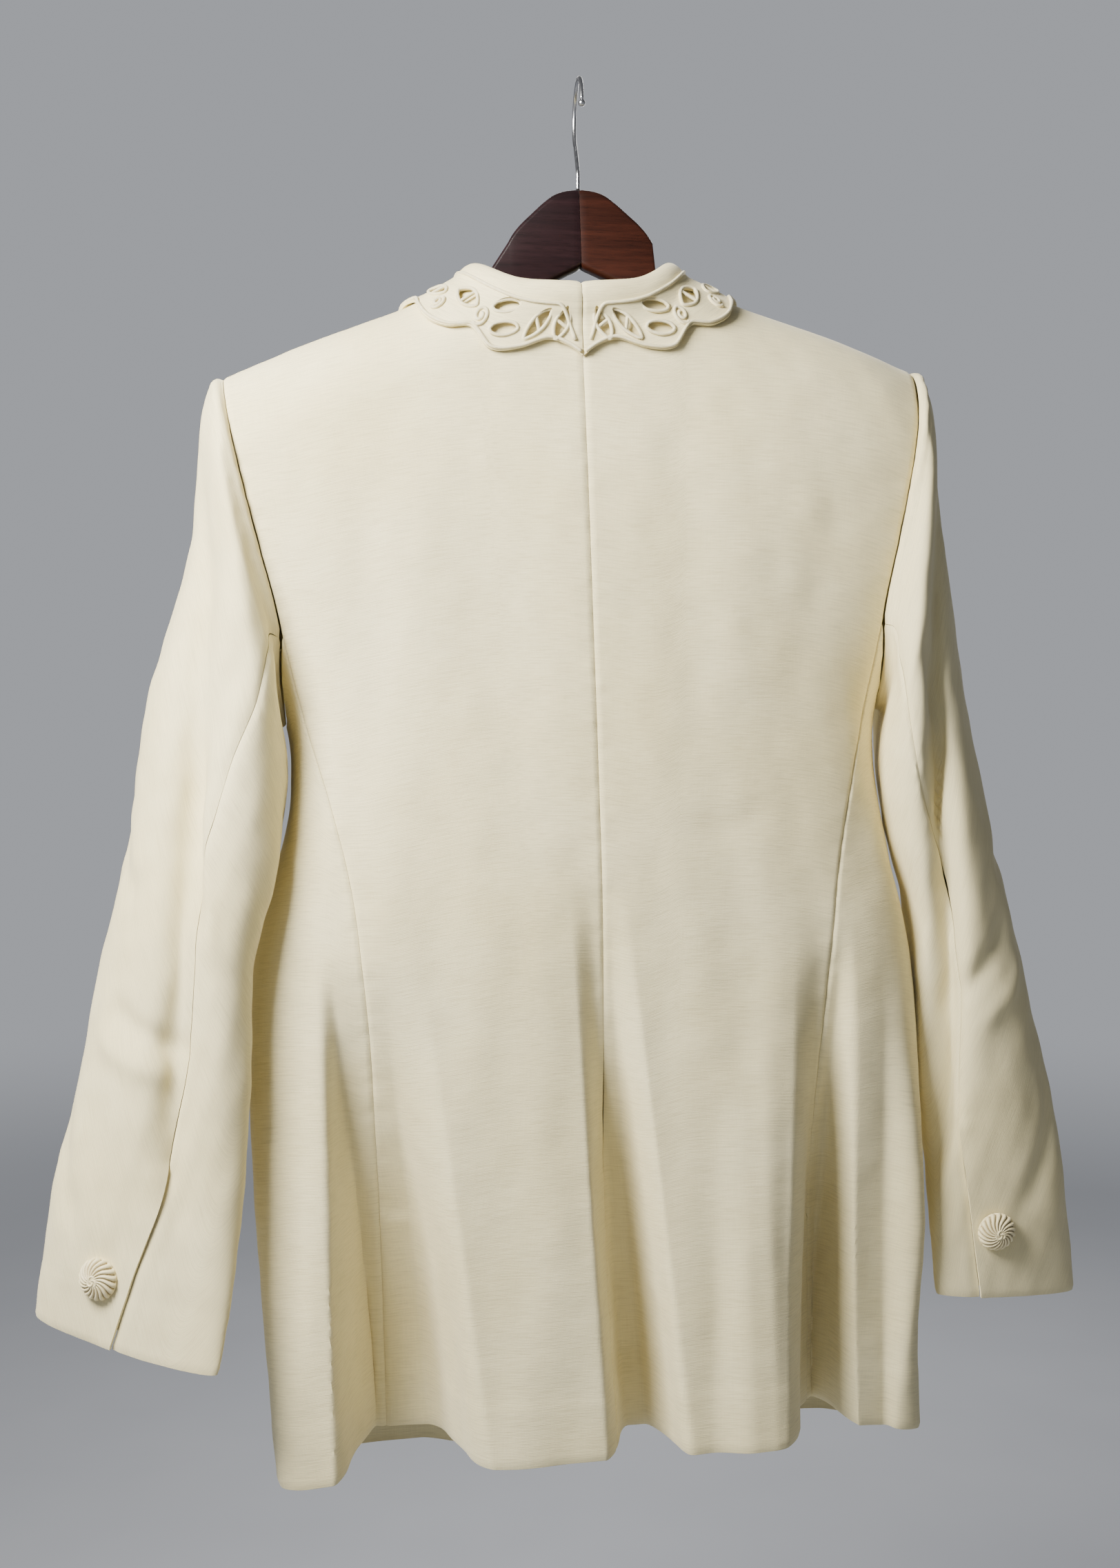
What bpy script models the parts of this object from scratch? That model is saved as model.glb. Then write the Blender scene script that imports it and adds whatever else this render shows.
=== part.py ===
"""A long cream suit jacket with a cutwork collar, hung on a dark wooden hanger.

Every length below is in millimetres and every angle in degrees. The meshes are scaled to metres
as they are made. The jacket has its own frame: x across, y from back (-) to front (+), z up, with
its centre-back seam at x = 0. An empty then tips it and the wood a little about the hanger's top,
as it hangs. The world origin is inside the crown of the hook, where the hook sits on a rod.
"""

import math

import bmesh
import bpy
import numpy as np
from mathutils import Euler, Vector

MM = 0.001
SEAM_GAP = 0.34
CLOTH = 2.0

# How the jacket hangs: tipped about the top of the wood, and slipped a little to one side of it
HANG_TIP = 2.0
HANG_SLIP = -7.5
WOOD_TOP_Z = -69.0

# Body lengths
HEM_Z = -860.0
FRONT_HEM_DROP = 18.0
SHOULDER_TIP_X = 219.0
SHOULDER_ROUND = 60.0
SHOULDER_WRAP = 80.0
FRONT_LAP = 16.0
UNDER_LAP = 14.0
FRONT_STEP = 3.2
STEP_SPREAD = 20.0

# Neckline, in the shoulder's own flat coordinates (across, over)
NECK_HALF = 62.0
NECK_BACK = 70.0
NECK_FRONT = 100.0

# Armhole
ARMHOLE_MID_Z = -296.0
ARMHOLE_HALF = 108.0
ARMHOLE_JOIN_Z = -352.0
ARMHOLE_JOIN = math.degrees(math.acos((ARMHOLE_JOIN_Z - ARMHOLE_MID_Z) / ARMHOLE_HALF))
SLEEVE_START = 0.004
SLEEVE_FIT = 0.24
SLEEVE_SEAM_TURN = 0.7

# Mesh rows and columns. Pieces that meet at a seam have the same steps along it.
SEAM_ROWS = 14
ARMHOLE_ROWS = 8
SIDE_COLUMNS = 12
BACK_COLUMNS = 16
FRONT_COLUMNS = 13
BACK_NECK_COLUMNS = 6
FRONT_NECK_COLUMNS = 5
SLEEVE_ROWS = 16
COLLAR_COLUMNS = 27
COLLAR_ROWS = 7
SEAM_SHARE = SEAM_ROWS / (SEAM_ROWS + ARMHOLE_ROWS)

# Collar
COLLAR_LIFT = 3.1
COLLAR_SIDE_X = 110.0
COLLAR_BACK = 96.0
COLLAR_FRONT = 146.0
COLLAR_POINT = 12.0
COLLAR_START = 0.15
COLLAR_END = 171.0
COLLAR_CROWDING = 1.25
ROLL_DROP = 0.4

# Hook, wood and buttons
HOOK_RADIUS = 21.3
HOOK_WIRE = 1.3
HOOK_BALL = 2.3
HOOK_SHANK = 14.0
HOOK_FIRST = -50
HOOK_LAST = 186
HOOK_STEP = 12
WOOD_THICK = 12.0
WOOD_ROUND = 3.0
WOOD_CLEAR = 1.5
NECK_CLEAR = 3.0
NECK_CLEAR_SPREAD = 24.0
WOOD_DOME_HALF = 47.0
WOOD_NECK = 55.5
WOOD_NOTCH_Z = -119.0
WOOD_NOTCH_HALF = 52.0
WOOD_NOTCH_SLOPE = 0.47
WOOD_TIP_X = 205.0
WOOD_DEPTH = 26.0
WOOD_TAPER = 9.0
WOOD_LEAST_DEPTH = 15.0
BUTTON_STEPS = 14
FRONT_BUTTONS = 4
FRONT_BUTTON_TOP_Z = -300.0
FRONT_BUTTON_PITCH = 95.0
CUFF_BUTTON_ALONG = 0.925
CUFF_BUTTON_TURN = 19.0

# Half the outline of a button, from its middle outwards: radius, height
BUTTON_OUTLINE = [(0, 8.6), (5, 8.0), (9.2, 6.3), (11.8, 3.9), (12.5, 1.8), (11.2, 0), (0, 0)]

# Dome of the wood under the hook: distance out from the middle, drop below its top
WOOD_DOME = [(0, 0), (10, 1.4), (17.5, 4.5), (29.5, 14.5), (42.7, 28), (52, 45), (58, 56)]

# Shoulder line at the top of the cloth: x, z
SHOULDER_LINE = [
    (0, -101), (8, -101.4), (22, -105), (40, -113), (62, -124), (80, -133), (105, -145),
    (130, -154), (165, -166), (192, -176.5), (219, -188), (262, -204),
]

# Body rings: z, half width left and right, depth back and front, squareness
BODY_RINGS = [
    (-80, 262, 262, 52, 44, 2.6),
    (-190, 262, 262, 56, 50, 2.6),
    (-250, 256, 256, 60, 56, 2.6),
    (-300, 236, 236, 61, 60, 2.6),
    (-352, 207, 207, 61, 62, 2.6),
    (-403, 188, 188, 62, 62, 2.6),
    (-450, 187, 187, 62, 62, 2.7),
    (-500, 199, 193, 61, 61, 2.8),
    (-550, 213, 202, 59, 60, 3.0),
    (-600, 218, 206, 57, 59, 3.2),
    (-700, 218, 208, 54, 58, 3.6),
    (-790, 214, 205, 51, 58, 3.9),
    (-880, 209, 203, 50, 58, 4.0),
]

# Armhole edge above the place where the princess seam meets it: z, x
ARMHOLE_EDGE = [(-403, 181), (-352, 187), (-330, 190.5), (-300, 197.5), (-264, 205.5), (-240, 210.5),
                (-215, 215), (-188, 219)]

# Seams at the outer edges of the panels: z, x of the back left one, the back right one and the front ones
PANEL_SEAMS = [
    (-352, 187, 187, 187), (-403, 176, 176, 178), (-450, 163, 162, 168), (-505, 151, 150, 160),
    (-550, 146, 144, 158), (-600, 144, 141, 160), (-650, 145, 140, 162), (-750, 147, 140, 166),
    (-880, 151, 143, 170),
]

# Hanging folds: face, four x at the hem (lip, foot, foot, lip), depth at the hem, x and z where it starts
HEM_FOLDS = [
    ("back", -173, -160, -119, -76, 80, -150, -545),
    ("back", -8, 13, 23, 46, 53, -4, -500),
    ("back", 104, 134, 149, 164, 50, 143, -530),
    ("back", 118, 152, 192, 216, 26, 160, -540),
    ("back", 56, 84, 96, 118, -7, 90, -600),
    ("front", -120, -92, -84, -50, 14, -90, -560),
    ("front", 40, 74, 84, 122, 16, 80, -520),
    ("front", 150, 176, 182, 206, 9, 176, -600),
]

# Sleeve stations: share of the length, centre x y z, vector to the top edge, vector to the back
SLEEVE_RIGHT = [
    (0.00, 202, 0, -296, 17, 0, 108, -4, -42, 0),
    (0.05, 208, 0, -300, 17, 0, 108, -6, -50, 0),
    (0.13, 211, -1, -322, 22, 0, 103, -8, -57, -2),
    (0.26, 213, -2, -372, 24, 0, 82, -12, -61, -5),
    (0.42, 221, -2, -437, 27, 0, 53, -14, -57, -5),
    (0.58, 235, -2, -517, 30, 1, 27, -9, -50, -2),
    (0.72, 248, 0, -611, 40, 3, 11, -3, -40, 0),
    (0.86, 261, 4, -703, 47, 7, 3, 2, -27, 0),
    (1.00, 268, 8, -792, 51, 12, -5, 3, -14, 0),
]
SLEEVE_LEFT = [
    (0.00, 202, 0, -296, 17, 0, 108, -4, -42, 0),
    (0.05, 209, 0, -300, 18, 0, 108, -6, -50, 0),
    (0.13, 212, -1, -322, 23, 0, 103, -9, -57, -2),
    (0.26, 217, -3, -372, 25, 0, 82, -13, -60, -5),
    (0.42, 234, -12, -434, 37, 12, 53, -14, -54, -5),
    (0.58, 251, -25, -520, 41, 14, 24, -11, -45, -2),
    (0.72, 264, -32, -606, 51, 16, 12, -2, -35, 0),
    (0.86, 279, -40, -693, 57, 20, 12, 8, -23, 0),
    (1.00, 292, -50, -768, 57, 30, 12, 6, -11, 0),
]

# Sleeve seams: share of the length, angle of the back seam left and right, angle of the front seam
SLEEVE_SEAMS = [
    (0.00, 122, 122, 238), (0.12, 112, 121, 237), (0.27, 98, 111, 235), (0.43, 88, 103, 232),
    (0.54, 88, 106, 229), (0.66, 104, 112, 223), (0.79, 113, 130, 216), (0.90, 101, 127, 210),
    (1.00, 89, 121, 205),
]

# Sleeve folds: side, angle at the top, angle at the cuff, spread, depth, share where it starts and ends
SLEEVE_FOLDS = [
    ("left", -8, 148, 17, 15, 0.10, 0.92),
    ("right", -6, 192, 17, 16, 0.12, 0.90),
    ("left", 300, 285, 24, 7, 0.20, 0.90),
    ("right", 300, 280, 24, 7, 0.20, 0.90),
    ("left", 214, 206, 24, 9, 0.28, 0.85),
    ("left", 162, 158, 14, -4, 0.28, 0.62),
    ("right", 330, 330, 20, 5, 0.45, 0.95),
]

# Collar section across its width: distance out from the neckline, height over the body
COLLAR_SECTION = [(-4.0, -1.0), (-3.4, 4.5), (-0.5, 8.6), (4.0, 9.0), (9.0, 6.6), (15.0, 4.0), (22.0, 2.8)]

# Collar edge: angle round the neck, how far the edge lies out of or in from the plain oval
COLLAR_SCALLOPS = [
    (0, 0), (12, 0), (20, 2), (30, 1), (38, -6), (42, -8), (50, -4), (60, -3), (70, -6), (78, -9), (90, -3),
    (100, 0), (112, -6), (126, 1), (140, -5), (154, 1), (166, -4), (180, -6),
]

# Cutwork openings of one half of the back collar: across, over, slant, length, width, bluntness
CUTWORK = [
    (12.5, -87.5, 115, 19, 9.0, 0.8),
    (27.0, -83.0, 151, 20, 9.2, 0.8),
    (47.5, -76.5, 22, 18, 6.4, 0.5),
    (44.5, -66.0, 22, 18, 6.4, 0.5),
    (67.0, -48.0, 62, 20, 9.5, 0.8),
    (84.0, -26.0, 62, 18, 8.5, 0.7),
]

CREAM = (0.78, 0.72, 0.58)
HORN_CREAM = (0.74, 0.66, 0.50)
MAHOGANY = (0.062, 0.020, 0.012)
STEEL = (0.62, 0.62, 0.64)


def blend(rows, at, column=1):
    """Value of a table's column at a place along its first column, with a smooth curve through the rows."""
    rows = sorted(rows)
    keys = [row[0] for row in rows]
    values = [row[column] for row in rows]
    at = min(max(at, keys[0]), keys[-1])
    low = min(max(int(np.searchsorted(keys, at)) - 1, 0), len(keys) - 2)
    span = keys[low + 1] - keys[low]
    share = (at - keys[low]) / span
    slopes = []
    for row in (low, low + 1):
        before = max(row - 1, 0)
        after = min(row + 1, len(keys) - 1)
        slopes.append((values[after] - values[before]) / (keys[after] - keys[before]) * span)
    rise = values[low + 1] - values[low]
    return (
        values[low]
        + slopes[0] * share
        + (3 * rise - 2 * slopes[0] - slopes[1]) * share**2
        + (slopes[0] + slopes[1] - 2 * rise) * share**3
    )


def ease(share):
    """Smooth step from 0 to 1."""
    share = min(max(share, 0.0), 1.0)
    return share * share * (3 - 2 * share)


def hem_fold(face, x, z):
    """How far the hanging folds push the cloth in at a place on the back or the front."""
    total = 0.0
    for row_face, lip_a, foot_a, foot_b, lip_b, depth, start_x, start_z in HEM_FOLDS:
        if row_face != face or z >= start_z:
            continue
        down = (start_z - z) / (start_z - HEM_Z)
        centre = start_x + ((foot_a + foot_b) / 2 - start_x) * down
        narrow = 0.65 + 0.35 * down
        offset = (x - centre) / narrow + (foot_a + foot_b) / 2
        inside = ease((offset - lip_a) / (foot_a - lip_a)) * ease((lip_b - offset) / (lip_b - foot_b))
        total += depth * inside * ease(down**0.85)
    return total


def folded(x, y, z, depth, half, squareness):
    """A body point pushed in along the ring's own outward direction by the folds there."""
    across = (abs(x) / half) ** (squareness - 1) / half * math.copysign(1, x)
    along = (abs(y) / depth) ** (squareness - 1) / depth * math.copysign(1, y)
    size = math.hypot(across, along) or 1.0
    push = hem_fold("back" if y < 0 else "front", x, z) * ease(abs(y) / (0.45 * depth))
    return Vector((x - push * across / size, y - push * along / size, z))


def wrap_turn(over):
    """Turn over the shoulder, and drop below its top, at a distance from the shoulder seam."""
    over = abs(over)
    if over < SHOULDER_WRAP:
        turn = over / SHOULDER_WRAP * math.pi / 2
        return math.sin(turn), SHOULDER_ROUND * (1 - math.cos(turn))
    return 1.0, SHOULDER_ROUND + over - SHOULDER_WRAP


def over_at(x, z):
    """Distance from the shoulder seam of a height z at x."""
    drop = max(blend(SHOULDER_LINE, abs(x)) - z, 0.0)
    if drop < SHOULDER_ROUND:
        return math.acos(1 - drop / SHOULDER_ROUND) / (math.pi / 2) * SHOULDER_WRAP
    return SHOULDER_WRAP + drop - SHOULDER_ROUND


def ring_size(side, face, z):
    """Half width, depth and squareness of the body's ring, on one side and one face."""
    return (
        blend(BODY_RINGS, z, 1 if side < 0 else 2),
        blend(BODY_RINGS, z, 3 if face < 0 else 4),
        blend(BODY_RINGS, z, 5),
    )


def flat_body(x, over):
    """Back (over < 0) or front (over > 0) of the body, laid over the shoulder line."""
    turn, drop = wrap_turn(over)
    z = blend(SHOULDER_LINE, abs(x)) - drop
    half, depth, squareness = ring_size(x, over, z)
    full = depth * max(1 - (abs(x) / half) ** squareness, 1e-6) ** (1 / squareness)
    y = math.copysign(full * turn, over)
    return folded(x, y, z, depth, half, squareness)


def ring_body(angle, z):
    """Body ring below the armhole: angle 0 at the centre back, 90 at the right side, 180 in front."""
    across = math.sin(math.radians(angle))
    along = -math.cos(math.radians(angle))
    half, depth, squareness = ring_size(across, along, z)
    x = half * math.copysign(abs(across) ** (2 / squareness), across)
    y = depth * math.copysign(abs(along) ** (2 / squareness), along)
    return folded(x, y, z, depth, half, squareness)


def ring_angle(side, x, z):
    """Angle of a place on the back half of a ring, from its distance x from the middle."""
    half, _, squareness = ring_size(side, -1, z)
    return math.degrees(math.asin(min((x / half) ** (squareness / 2), 1.0)))


def panel_seam(side, face, z):
    """Distance from the middle of the seam at the outer edge of a back or front panel."""
    if face > 0:
        return blend(PANEL_SEAMS, z, 3)
    return blend(PANEL_SEAMS, z, 1 if side < 0 else 2)


def side_edges(side, z):
    """Ring angles where the side panel starts and ends at a height."""
    room = SEAM_GAP / 2
    start = ring_angle(side, panel_seam(side, -1, z) + room, z)
    end = 180 - ring_angle(side, panel_seam(side, 1, z) + room, z)
    return start, end


def side_ring(side, z, share):
    """Signed ring angle at a share of a side panel's width, measured along the cloth."""
    start, end = side_edges(side, z)
    angles = np.linspace(start, end, 61)
    points = [ring_body(side * angle, z) for angle in angles]
    steps = [0.0] + [(b - a).length for a, b in zip(points, points[1:])]
    along = np.cumsum(steps)
    inside = min(max(share, 0.0), 1.0)
    beyond = (share - inside) * (end - start)
    return side * (float(np.interp(inside * along[-1], along, angles)) + beyond)


def armhole(angle):
    """Point of the right armhole: angle 0 at the shoulder, 90 at the back, 180 under the arm."""
    z = ARMHOLE_MID_Z + ARMHOLE_HALF * math.cos(math.radians(angle))
    face = -1 if angle % 360 <= 180 else 1
    if z >= ARMHOLE_JOIN_Z:
        x = blend(ARMHOLE_EDGE, z)
        return flat_body(x, face * over_at(x, z))
    share = ((angle % 360) - ARMHOLE_JOIN) / (360 - 2 * ARMHOLE_JOIN)
    return ring_body(side_ring(1, z, share), z)


def hem_height(share):
    """Height of the hem at a share of the way from centre back to centre front."""
    return HEM_Z - FRONT_HEM_DROP * ease((share - 0.3) / 0.4)


def neckline(angle):
    """Neckline in the shoulder's flat coordinates: angle 0 at the centre back, 180 in front."""
    reach = NECK_BACK if angle < 90 else NECK_FRONT
    return NECK_HALF * math.sin(math.radians(angle)), -reach * math.cos(math.radians(angle))


def panel_outer(share, side, face):
    """Outer edge of a back (-1) or front (1) panel: from the hem up its seam, then up the armhole."""
    if share < SEAM_SHARE:
        hem = hem_height(0 if face < 0 else 1)
        z = hem + (ARMHOLE_JOIN_Z - hem) * share / SEAM_SHARE
        x = panel_seam(side, face, z) - SEAM_GAP / 2
        return x, face * over_at(x, z)
    angle = ARMHOLE_JOIN * (1 - (share - SEAM_SHARE) / (1 - SEAM_SHARE))
    z = ARMHOLE_MID_Z + ARMHOLE_HALF * math.cos(math.radians(angle))
    x = blend(ARMHOLE_EDGE, z)
    return x, face * max(over_at(x, z), SEAM_GAP / 2)


def panel_top(share, face, edge_x):
    """Top edge of a panel: along the neckline from its centre edge, then out along the shoulder seam."""
    neck = BACK_NECK_COLUMNS / BACK_COLUMNS if face < 0 else FRONT_NECK_COLUMNS / FRONT_COLUMNS
    if share < neck:
        first = math.degrees(math.asin(edge_x / NECK_HALF))
        angle = first + (90 - first) * share / neck
        x, over = neckline(angle if face < 0 else 180 - angle)
        return x, face * max(abs(over), SEAM_GAP / 2)
    x = NECK_HALF + (SHOULDER_TIP_X - NECK_HALF) * (share - neck) / (1 - neck)
    return x, face * SEAM_GAP / 2


def panel_place(side, face, across, up, edge_x):
    """Place on a back or front panel in the flat coordinates, from shares across and up it."""
    hem = hem_height(0 if face < 0 else 1)
    hem_x = panel_outer(0, side, face)[0]
    bottom_x = edge_x + (hem_x - edge_x) * across
    bottom = (bottom_x, face * over_at(bottom_x, hem))
    top = panel_top(across, face, edge_x)
    inner_low = (edge_x, face * over_at(edge_x, hem))
    inner_high = panel_top(0, face, edge_x)
    inner = [low + (high - low) * up for low, high in zip(inner_low, inner_high)]
    outer = panel_outer(up, side, face)
    corner_low = panel_outer(0, side, face)
    corner_high = panel_top(1, face, edge_x)
    place = []
    for axis in (0, 1):
        ruled = (1 - up) * bottom[axis] + up * top[axis] + (1 - across) * inner[axis] + across * outer[axis]
        corners = (
            (1 - up) * ((1 - across) * inner_low[axis] + across * corner_low[axis])
            + up * ((1 - across) * inner_high[axis] + across * corner_high[axis])
        )
        place.append(ruled - corners)
    return place


def back_panel(side):
    def surface(across, up):
        x, over = panel_place(side, -1, across, up, SEAM_GAP / 2)
        return flat_body(side * x, over)
    return surface


def front_panel(side):
    """The right front laps over the left one at the centre, so the left one steps in there."""
    centre = -FRONT_LAP if side > 0 else -UNDER_LAP

    def surface(across, up):
        x, over = panel_place(side, 1, across, up, centre)
        point = flat_body(side * x, over)
        if side < 0:
            point.y -= FRONT_STEP * ease((FRONT_LAP + 2 - x) / STEP_SPREAD + 1)
        return point
    return surface


def side_panel(side):
    def surface(across, up):
        angle = ARMHOLE_JOIN + (360 - 2 * ARMHOLE_JOIN) * across
        top = ARMHOLE_MID_Z + ARMHOLE_HALF * math.cos(math.radians(angle))
        hem = hem_height(0.25 + 0.5 * across)
        z = hem + (top - hem) * up
        return ring_body(side_ring(side, z, across), z)
    return surface


def sleeve_seam(side, along):
    back = blend(SLEEVE_SEAMS, along, 1 if side < 0 else 2)
    front = blend(SLEEVE_SEAMS, along, 3)
    return back, front


def sleeve_oval(side, along, angle):
    rows = SLEEVE_LEFT if side < 0 else SLEEVE_RIGHT
    values = [blend(rows, along, column) for column in range(1, 10)]
    up = math.cos(math.radians(angle))
    back = math.sin(math.radians(angle))
    return Vector([values[axis] + up * values[3 + axis] + back * values[6 + axis] for axis in range(3)])


def sleeve_fold(side, along, angle):
    """How far the sleeve's lengthwise folds push in."""
    total = 0.0
    for name, top, cuff, spread, depth, start, end in SLEEVE_FOLDS:
        if (name == "left") != (side < 0) or not start < along < end:
            continue
        centre = top + (cuff - top) * along
        apart = (angle - centre + 180) % 360 - 180
        fade = ease((along - start) / 0.18) * ease((end - along) / 0.16)
        total += depth * fade * math.exp(-((apart / spread) ** 2))
    return total


def sleeve_point(side, along, angle):
    """Point of a sleeve: it starts on the armhole and takes its oval sections over its first quarter."""
    oval = sleeve_oval(side, along, angle)
    fit = 1 - ease(along / SLEEVE_FIT)
    if fit > 0:
        oval += (armhole(angle) - sleeve_oval(side, 0.0, angle)) * fit
    rows = SLEEVE_LEFT if side < 0 else SLEEVE_RIGHT
    centre = Vector([blend(rows, along, column) for column in (1, 2, 3)])
    inward = centre - oval
    inward.normalize()
    oval += inward * sleeve_fold(side, along, angle)
    return Vector((side * oval.x, oval.y, oval.z))


def sleeve_panel(side, part):
    def surface(across, down):
        along = SLEEVE_START + (1 - SLEEVE_START) * down
        back, front = sleeve_seam(side, along)
        if part == "top":
            low, high = front - 360 + SLEEVE_SEAM_TURN, back - SLEEVE_SEAM_TURN
        else:
            low, high = back + SLEEVE_SEAM_TURN, front - SLEEVE_SEAM_TURN
        return sleeve_point(side, along, low + (high - low) * across)
    return surface


def collar_edge(angle):
    """Outer edge of the collar in the flat coordinates, with its scallops and the point at the back."""
    reach = COLLAR_BACK if angle < 90 else COLLAR_FRONT
    more = blend(COLLAR_SCALLOPS, angle) + COLLAR_POINT * max(1 - angle / 12, 0) ** 1.6
    turn = math.radians(angle)
    return (COLLAR_SIDE_X + more) * math.sin(turn), -(reach + more) * math.cos(turn)


def over_body(x, over, height):
    """Point at a height over the body's cloth, with x kept on its own side."""
    step = 0.5
    point = flat_body(x, over)
    across = flat_body(x + step, over) - flat_body(x - step, over)
    along = flat_body(x, over + step) - flat_body(x, over - step)
    return point + across.cross(along).normalized() * height


def collar_half(side):
    def surface(around, out):
        angle = COLLAR_START + (COLLAR_END - COLLAR_START) * around
        inner_x, inner_over = neckline(angle)
        edge_x, edge_over = collar_edge(angle)
        width = math.hypot(edge_x - inner_x, edge_over - inner_over)
        first = COLLAR_SECTION[0][0]
        distance = first + (width - first) * out**COLLAR_CROWDING
        height = blend(COLLAR_SECTION, distance) if distance < COLLAR_SECTION[-1][0] else COLLAR_LIFT
        height *= 1 - ROLL_DROP * math.sin(math.radians(min(angle, 90.0))) ** 2
        height = max(height, COLLAR_LIFT) if distance > 0 else height
        x = inner_x + (edge_x - inner_x) * distance / width
        over = inner_over + (edge_over - inner_over) * distance / width
        return over_body(side * max(x, SEAM_GAP / 2), over, height)
    return surface


def material(name, colour, roughness, metallic=0.0):
    made = bpy.data.materials.new(name)
    made.use_nodes = True
    shader = made.node_tree.nodes["Principled BSDF"]
    shader.inputs["Base Color"].default_value = (*colour, 1.0)
    shader.inputs["Roughness"].default_value = roughness
    shader.inputs["Metallic"].default_value = metallic
    return made


def add_object(name, mesh, look, collection, parent=None):
    made = bpy.data.objects.new(name, mesh)
    mesh.materials.append(look)
    collection.objects.link(made)
    made.parent = parent
    return made


def cloth_wall(name, surface, columns, rows, outward, look, collection, parent):
    """A sewn piece: its outer face from a surface, its inner face one cloth thickness behind."""
    step = 0.002
    bm = bmesh.new()
    outer = []
    inner = []
    for row in range(rows + 1):
        outer_row = []
        inner_row = []
        for column in range(columns + 1):
            u = column / columns
            v = row / rows
            point = surface(u, v)
            across = surface(u + step, v) - surface(u - step, v)
            along = surface(u, min(v + step, 1)) - surface(u, max(v - step, 0))
            normal = across.cross(along).normalized() * outward
            outer_row.append(bm.verts.new(point * MM))
            inner_row.append(bm.verts.new((point - normal * CLOTH) * MM))
        outer.append(outer_row)
        inner.append(inner_row)
    for row in range(rows):
        for column in range(columns):
            corners = [(row, column), (row, column + 1), (row + 1, column + 1), (row + 1, column)]
            bm.faces.new([outer[r][c] for r, c in corners])
            bm.faces.new([inner[r][c] for r, c in reversed(corners)])
    rim = [(0, c) for c in range(columns)] + [(r, columns) for r in range(rows)]
    rim += [(rows, c) for c in range(columns, 0, -1)] + [(r, 0) for r in range(rows, 0, -1)]
    for (r0, c0), (r1, c1) in zip(rim, rim[1:] + rim[:1]):
        bm.faces.new([outer[r0][c0], inner[r0][c0], inner[r1][c1], outer[r1][c1]])
    bmesh.ops.recalc_face_normals(bm, faces=bm.faces)
    mesh = bpy.data.meshes.new(name)
    bm.to_mesh(mesh)
    bm.free()
    mesh.shade_smooth()
    mesh.set_sharp_from_angle(angle=math.radians(40))
    return add_object(name, mesh, look, collection, parent)


def leaf_outline(x, over, slant, length, width, bluntness, points=6):
    """Closed outline of one cutwork opening, a leaf whose two ends are a millimetre wide."""
    turn = math.radians(slant)
    outline = []
    for edge in (1, -1):
        shares = [i / points for i in range(points + 1)]
        for share in shares if edge > 0 else reversed(shares):
            along = (share - 0.5) * length
            swell = max(math.sin(math.pi * share), 0.0) ** bluntness
            out = edge * (0.5 + (width / 2 - 0.5) * swell)
            outline.append((
                x + along * math.cos(turn) - out * math.sin(turn),
                over + along * math.sin(turn) + out * math.cos(turn),
            ))
    return outline


def cutter(name, side, collection, parent):
    """One closed plug for each cutwork opening of a collar half, all in one object."""
    bm = bmesh.new()
    for row in CUTWORK:
        outline = leaf_outline(*row)
        low = [bm.verts.new(over_body(side * x, over, -1.6) * MM) for x, over in outline]
        high = [bm.verts.new(over_body(side * x, over, 14.0) * MM) for x, over in outline]
        count = len(outline)
        for i in range(count):
            bm.faces.new([low[i], low[(i + 1) % count], high[(i + 1) % count], high[i]])
        bm.faces.new(list(reversed(low)))
        bm.faces.new(high)
    bmesh.ops.triangulate(bm, faces=[face for face in bm.faces if len(face.verts) > 4])
    bmesh.ops.recalc_face_normals(bm, faces=bm.faces)
    mesh = bpy.data.meshes.new(name)
    bm.to_mesh(mesh)
    bm.free()
    made = bpy.data.objects.new(name, mesh)
    collection.objects.link(made)
    made.parent = parent
    made.hide_render = True
    made.display_type = "WIRE"
    return made


def wood_top(x):
    """Top edge of the wood: a dome under the hook, then the shoulder line under the cloth."""
    near_neck = ease((NECK_HALF - abs(x)) / NECK_CLEAR_SPREAD + 1)
    clear = CLOTH + WOOD_CLEAR + NECK_CLEAR * near_neck
    shoulder = blend(SHOULDER_LINE, abs(x)) - clear
    dome = WOOD_TOP_Z - blend(WOOD_DOME, abs(x + HANG_SLIP))
    if abs(x) < WOOD_NECK - 0.5:
        return max(dome, shoulder)
    return shoulder


def wood_bottom(x):
    """Under edge: a shallow notch in the middle, then a taper towards the tip."""
    out = abs(x + HANG_SLIP)
    notch = WOOD_NOTCH_Z - WOOD_NOTCH_SLOPE * out
    taper = wood_top(x) - WOOD_DEPTH + WOOD_TAPER * out / WOOD_TIP_X
    if out < WOOD_NOTCH_HALF:
        return notch
    return min(max(notch, taper), wood_top(x) - WOOD_LEAST_DEPTH)


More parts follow.
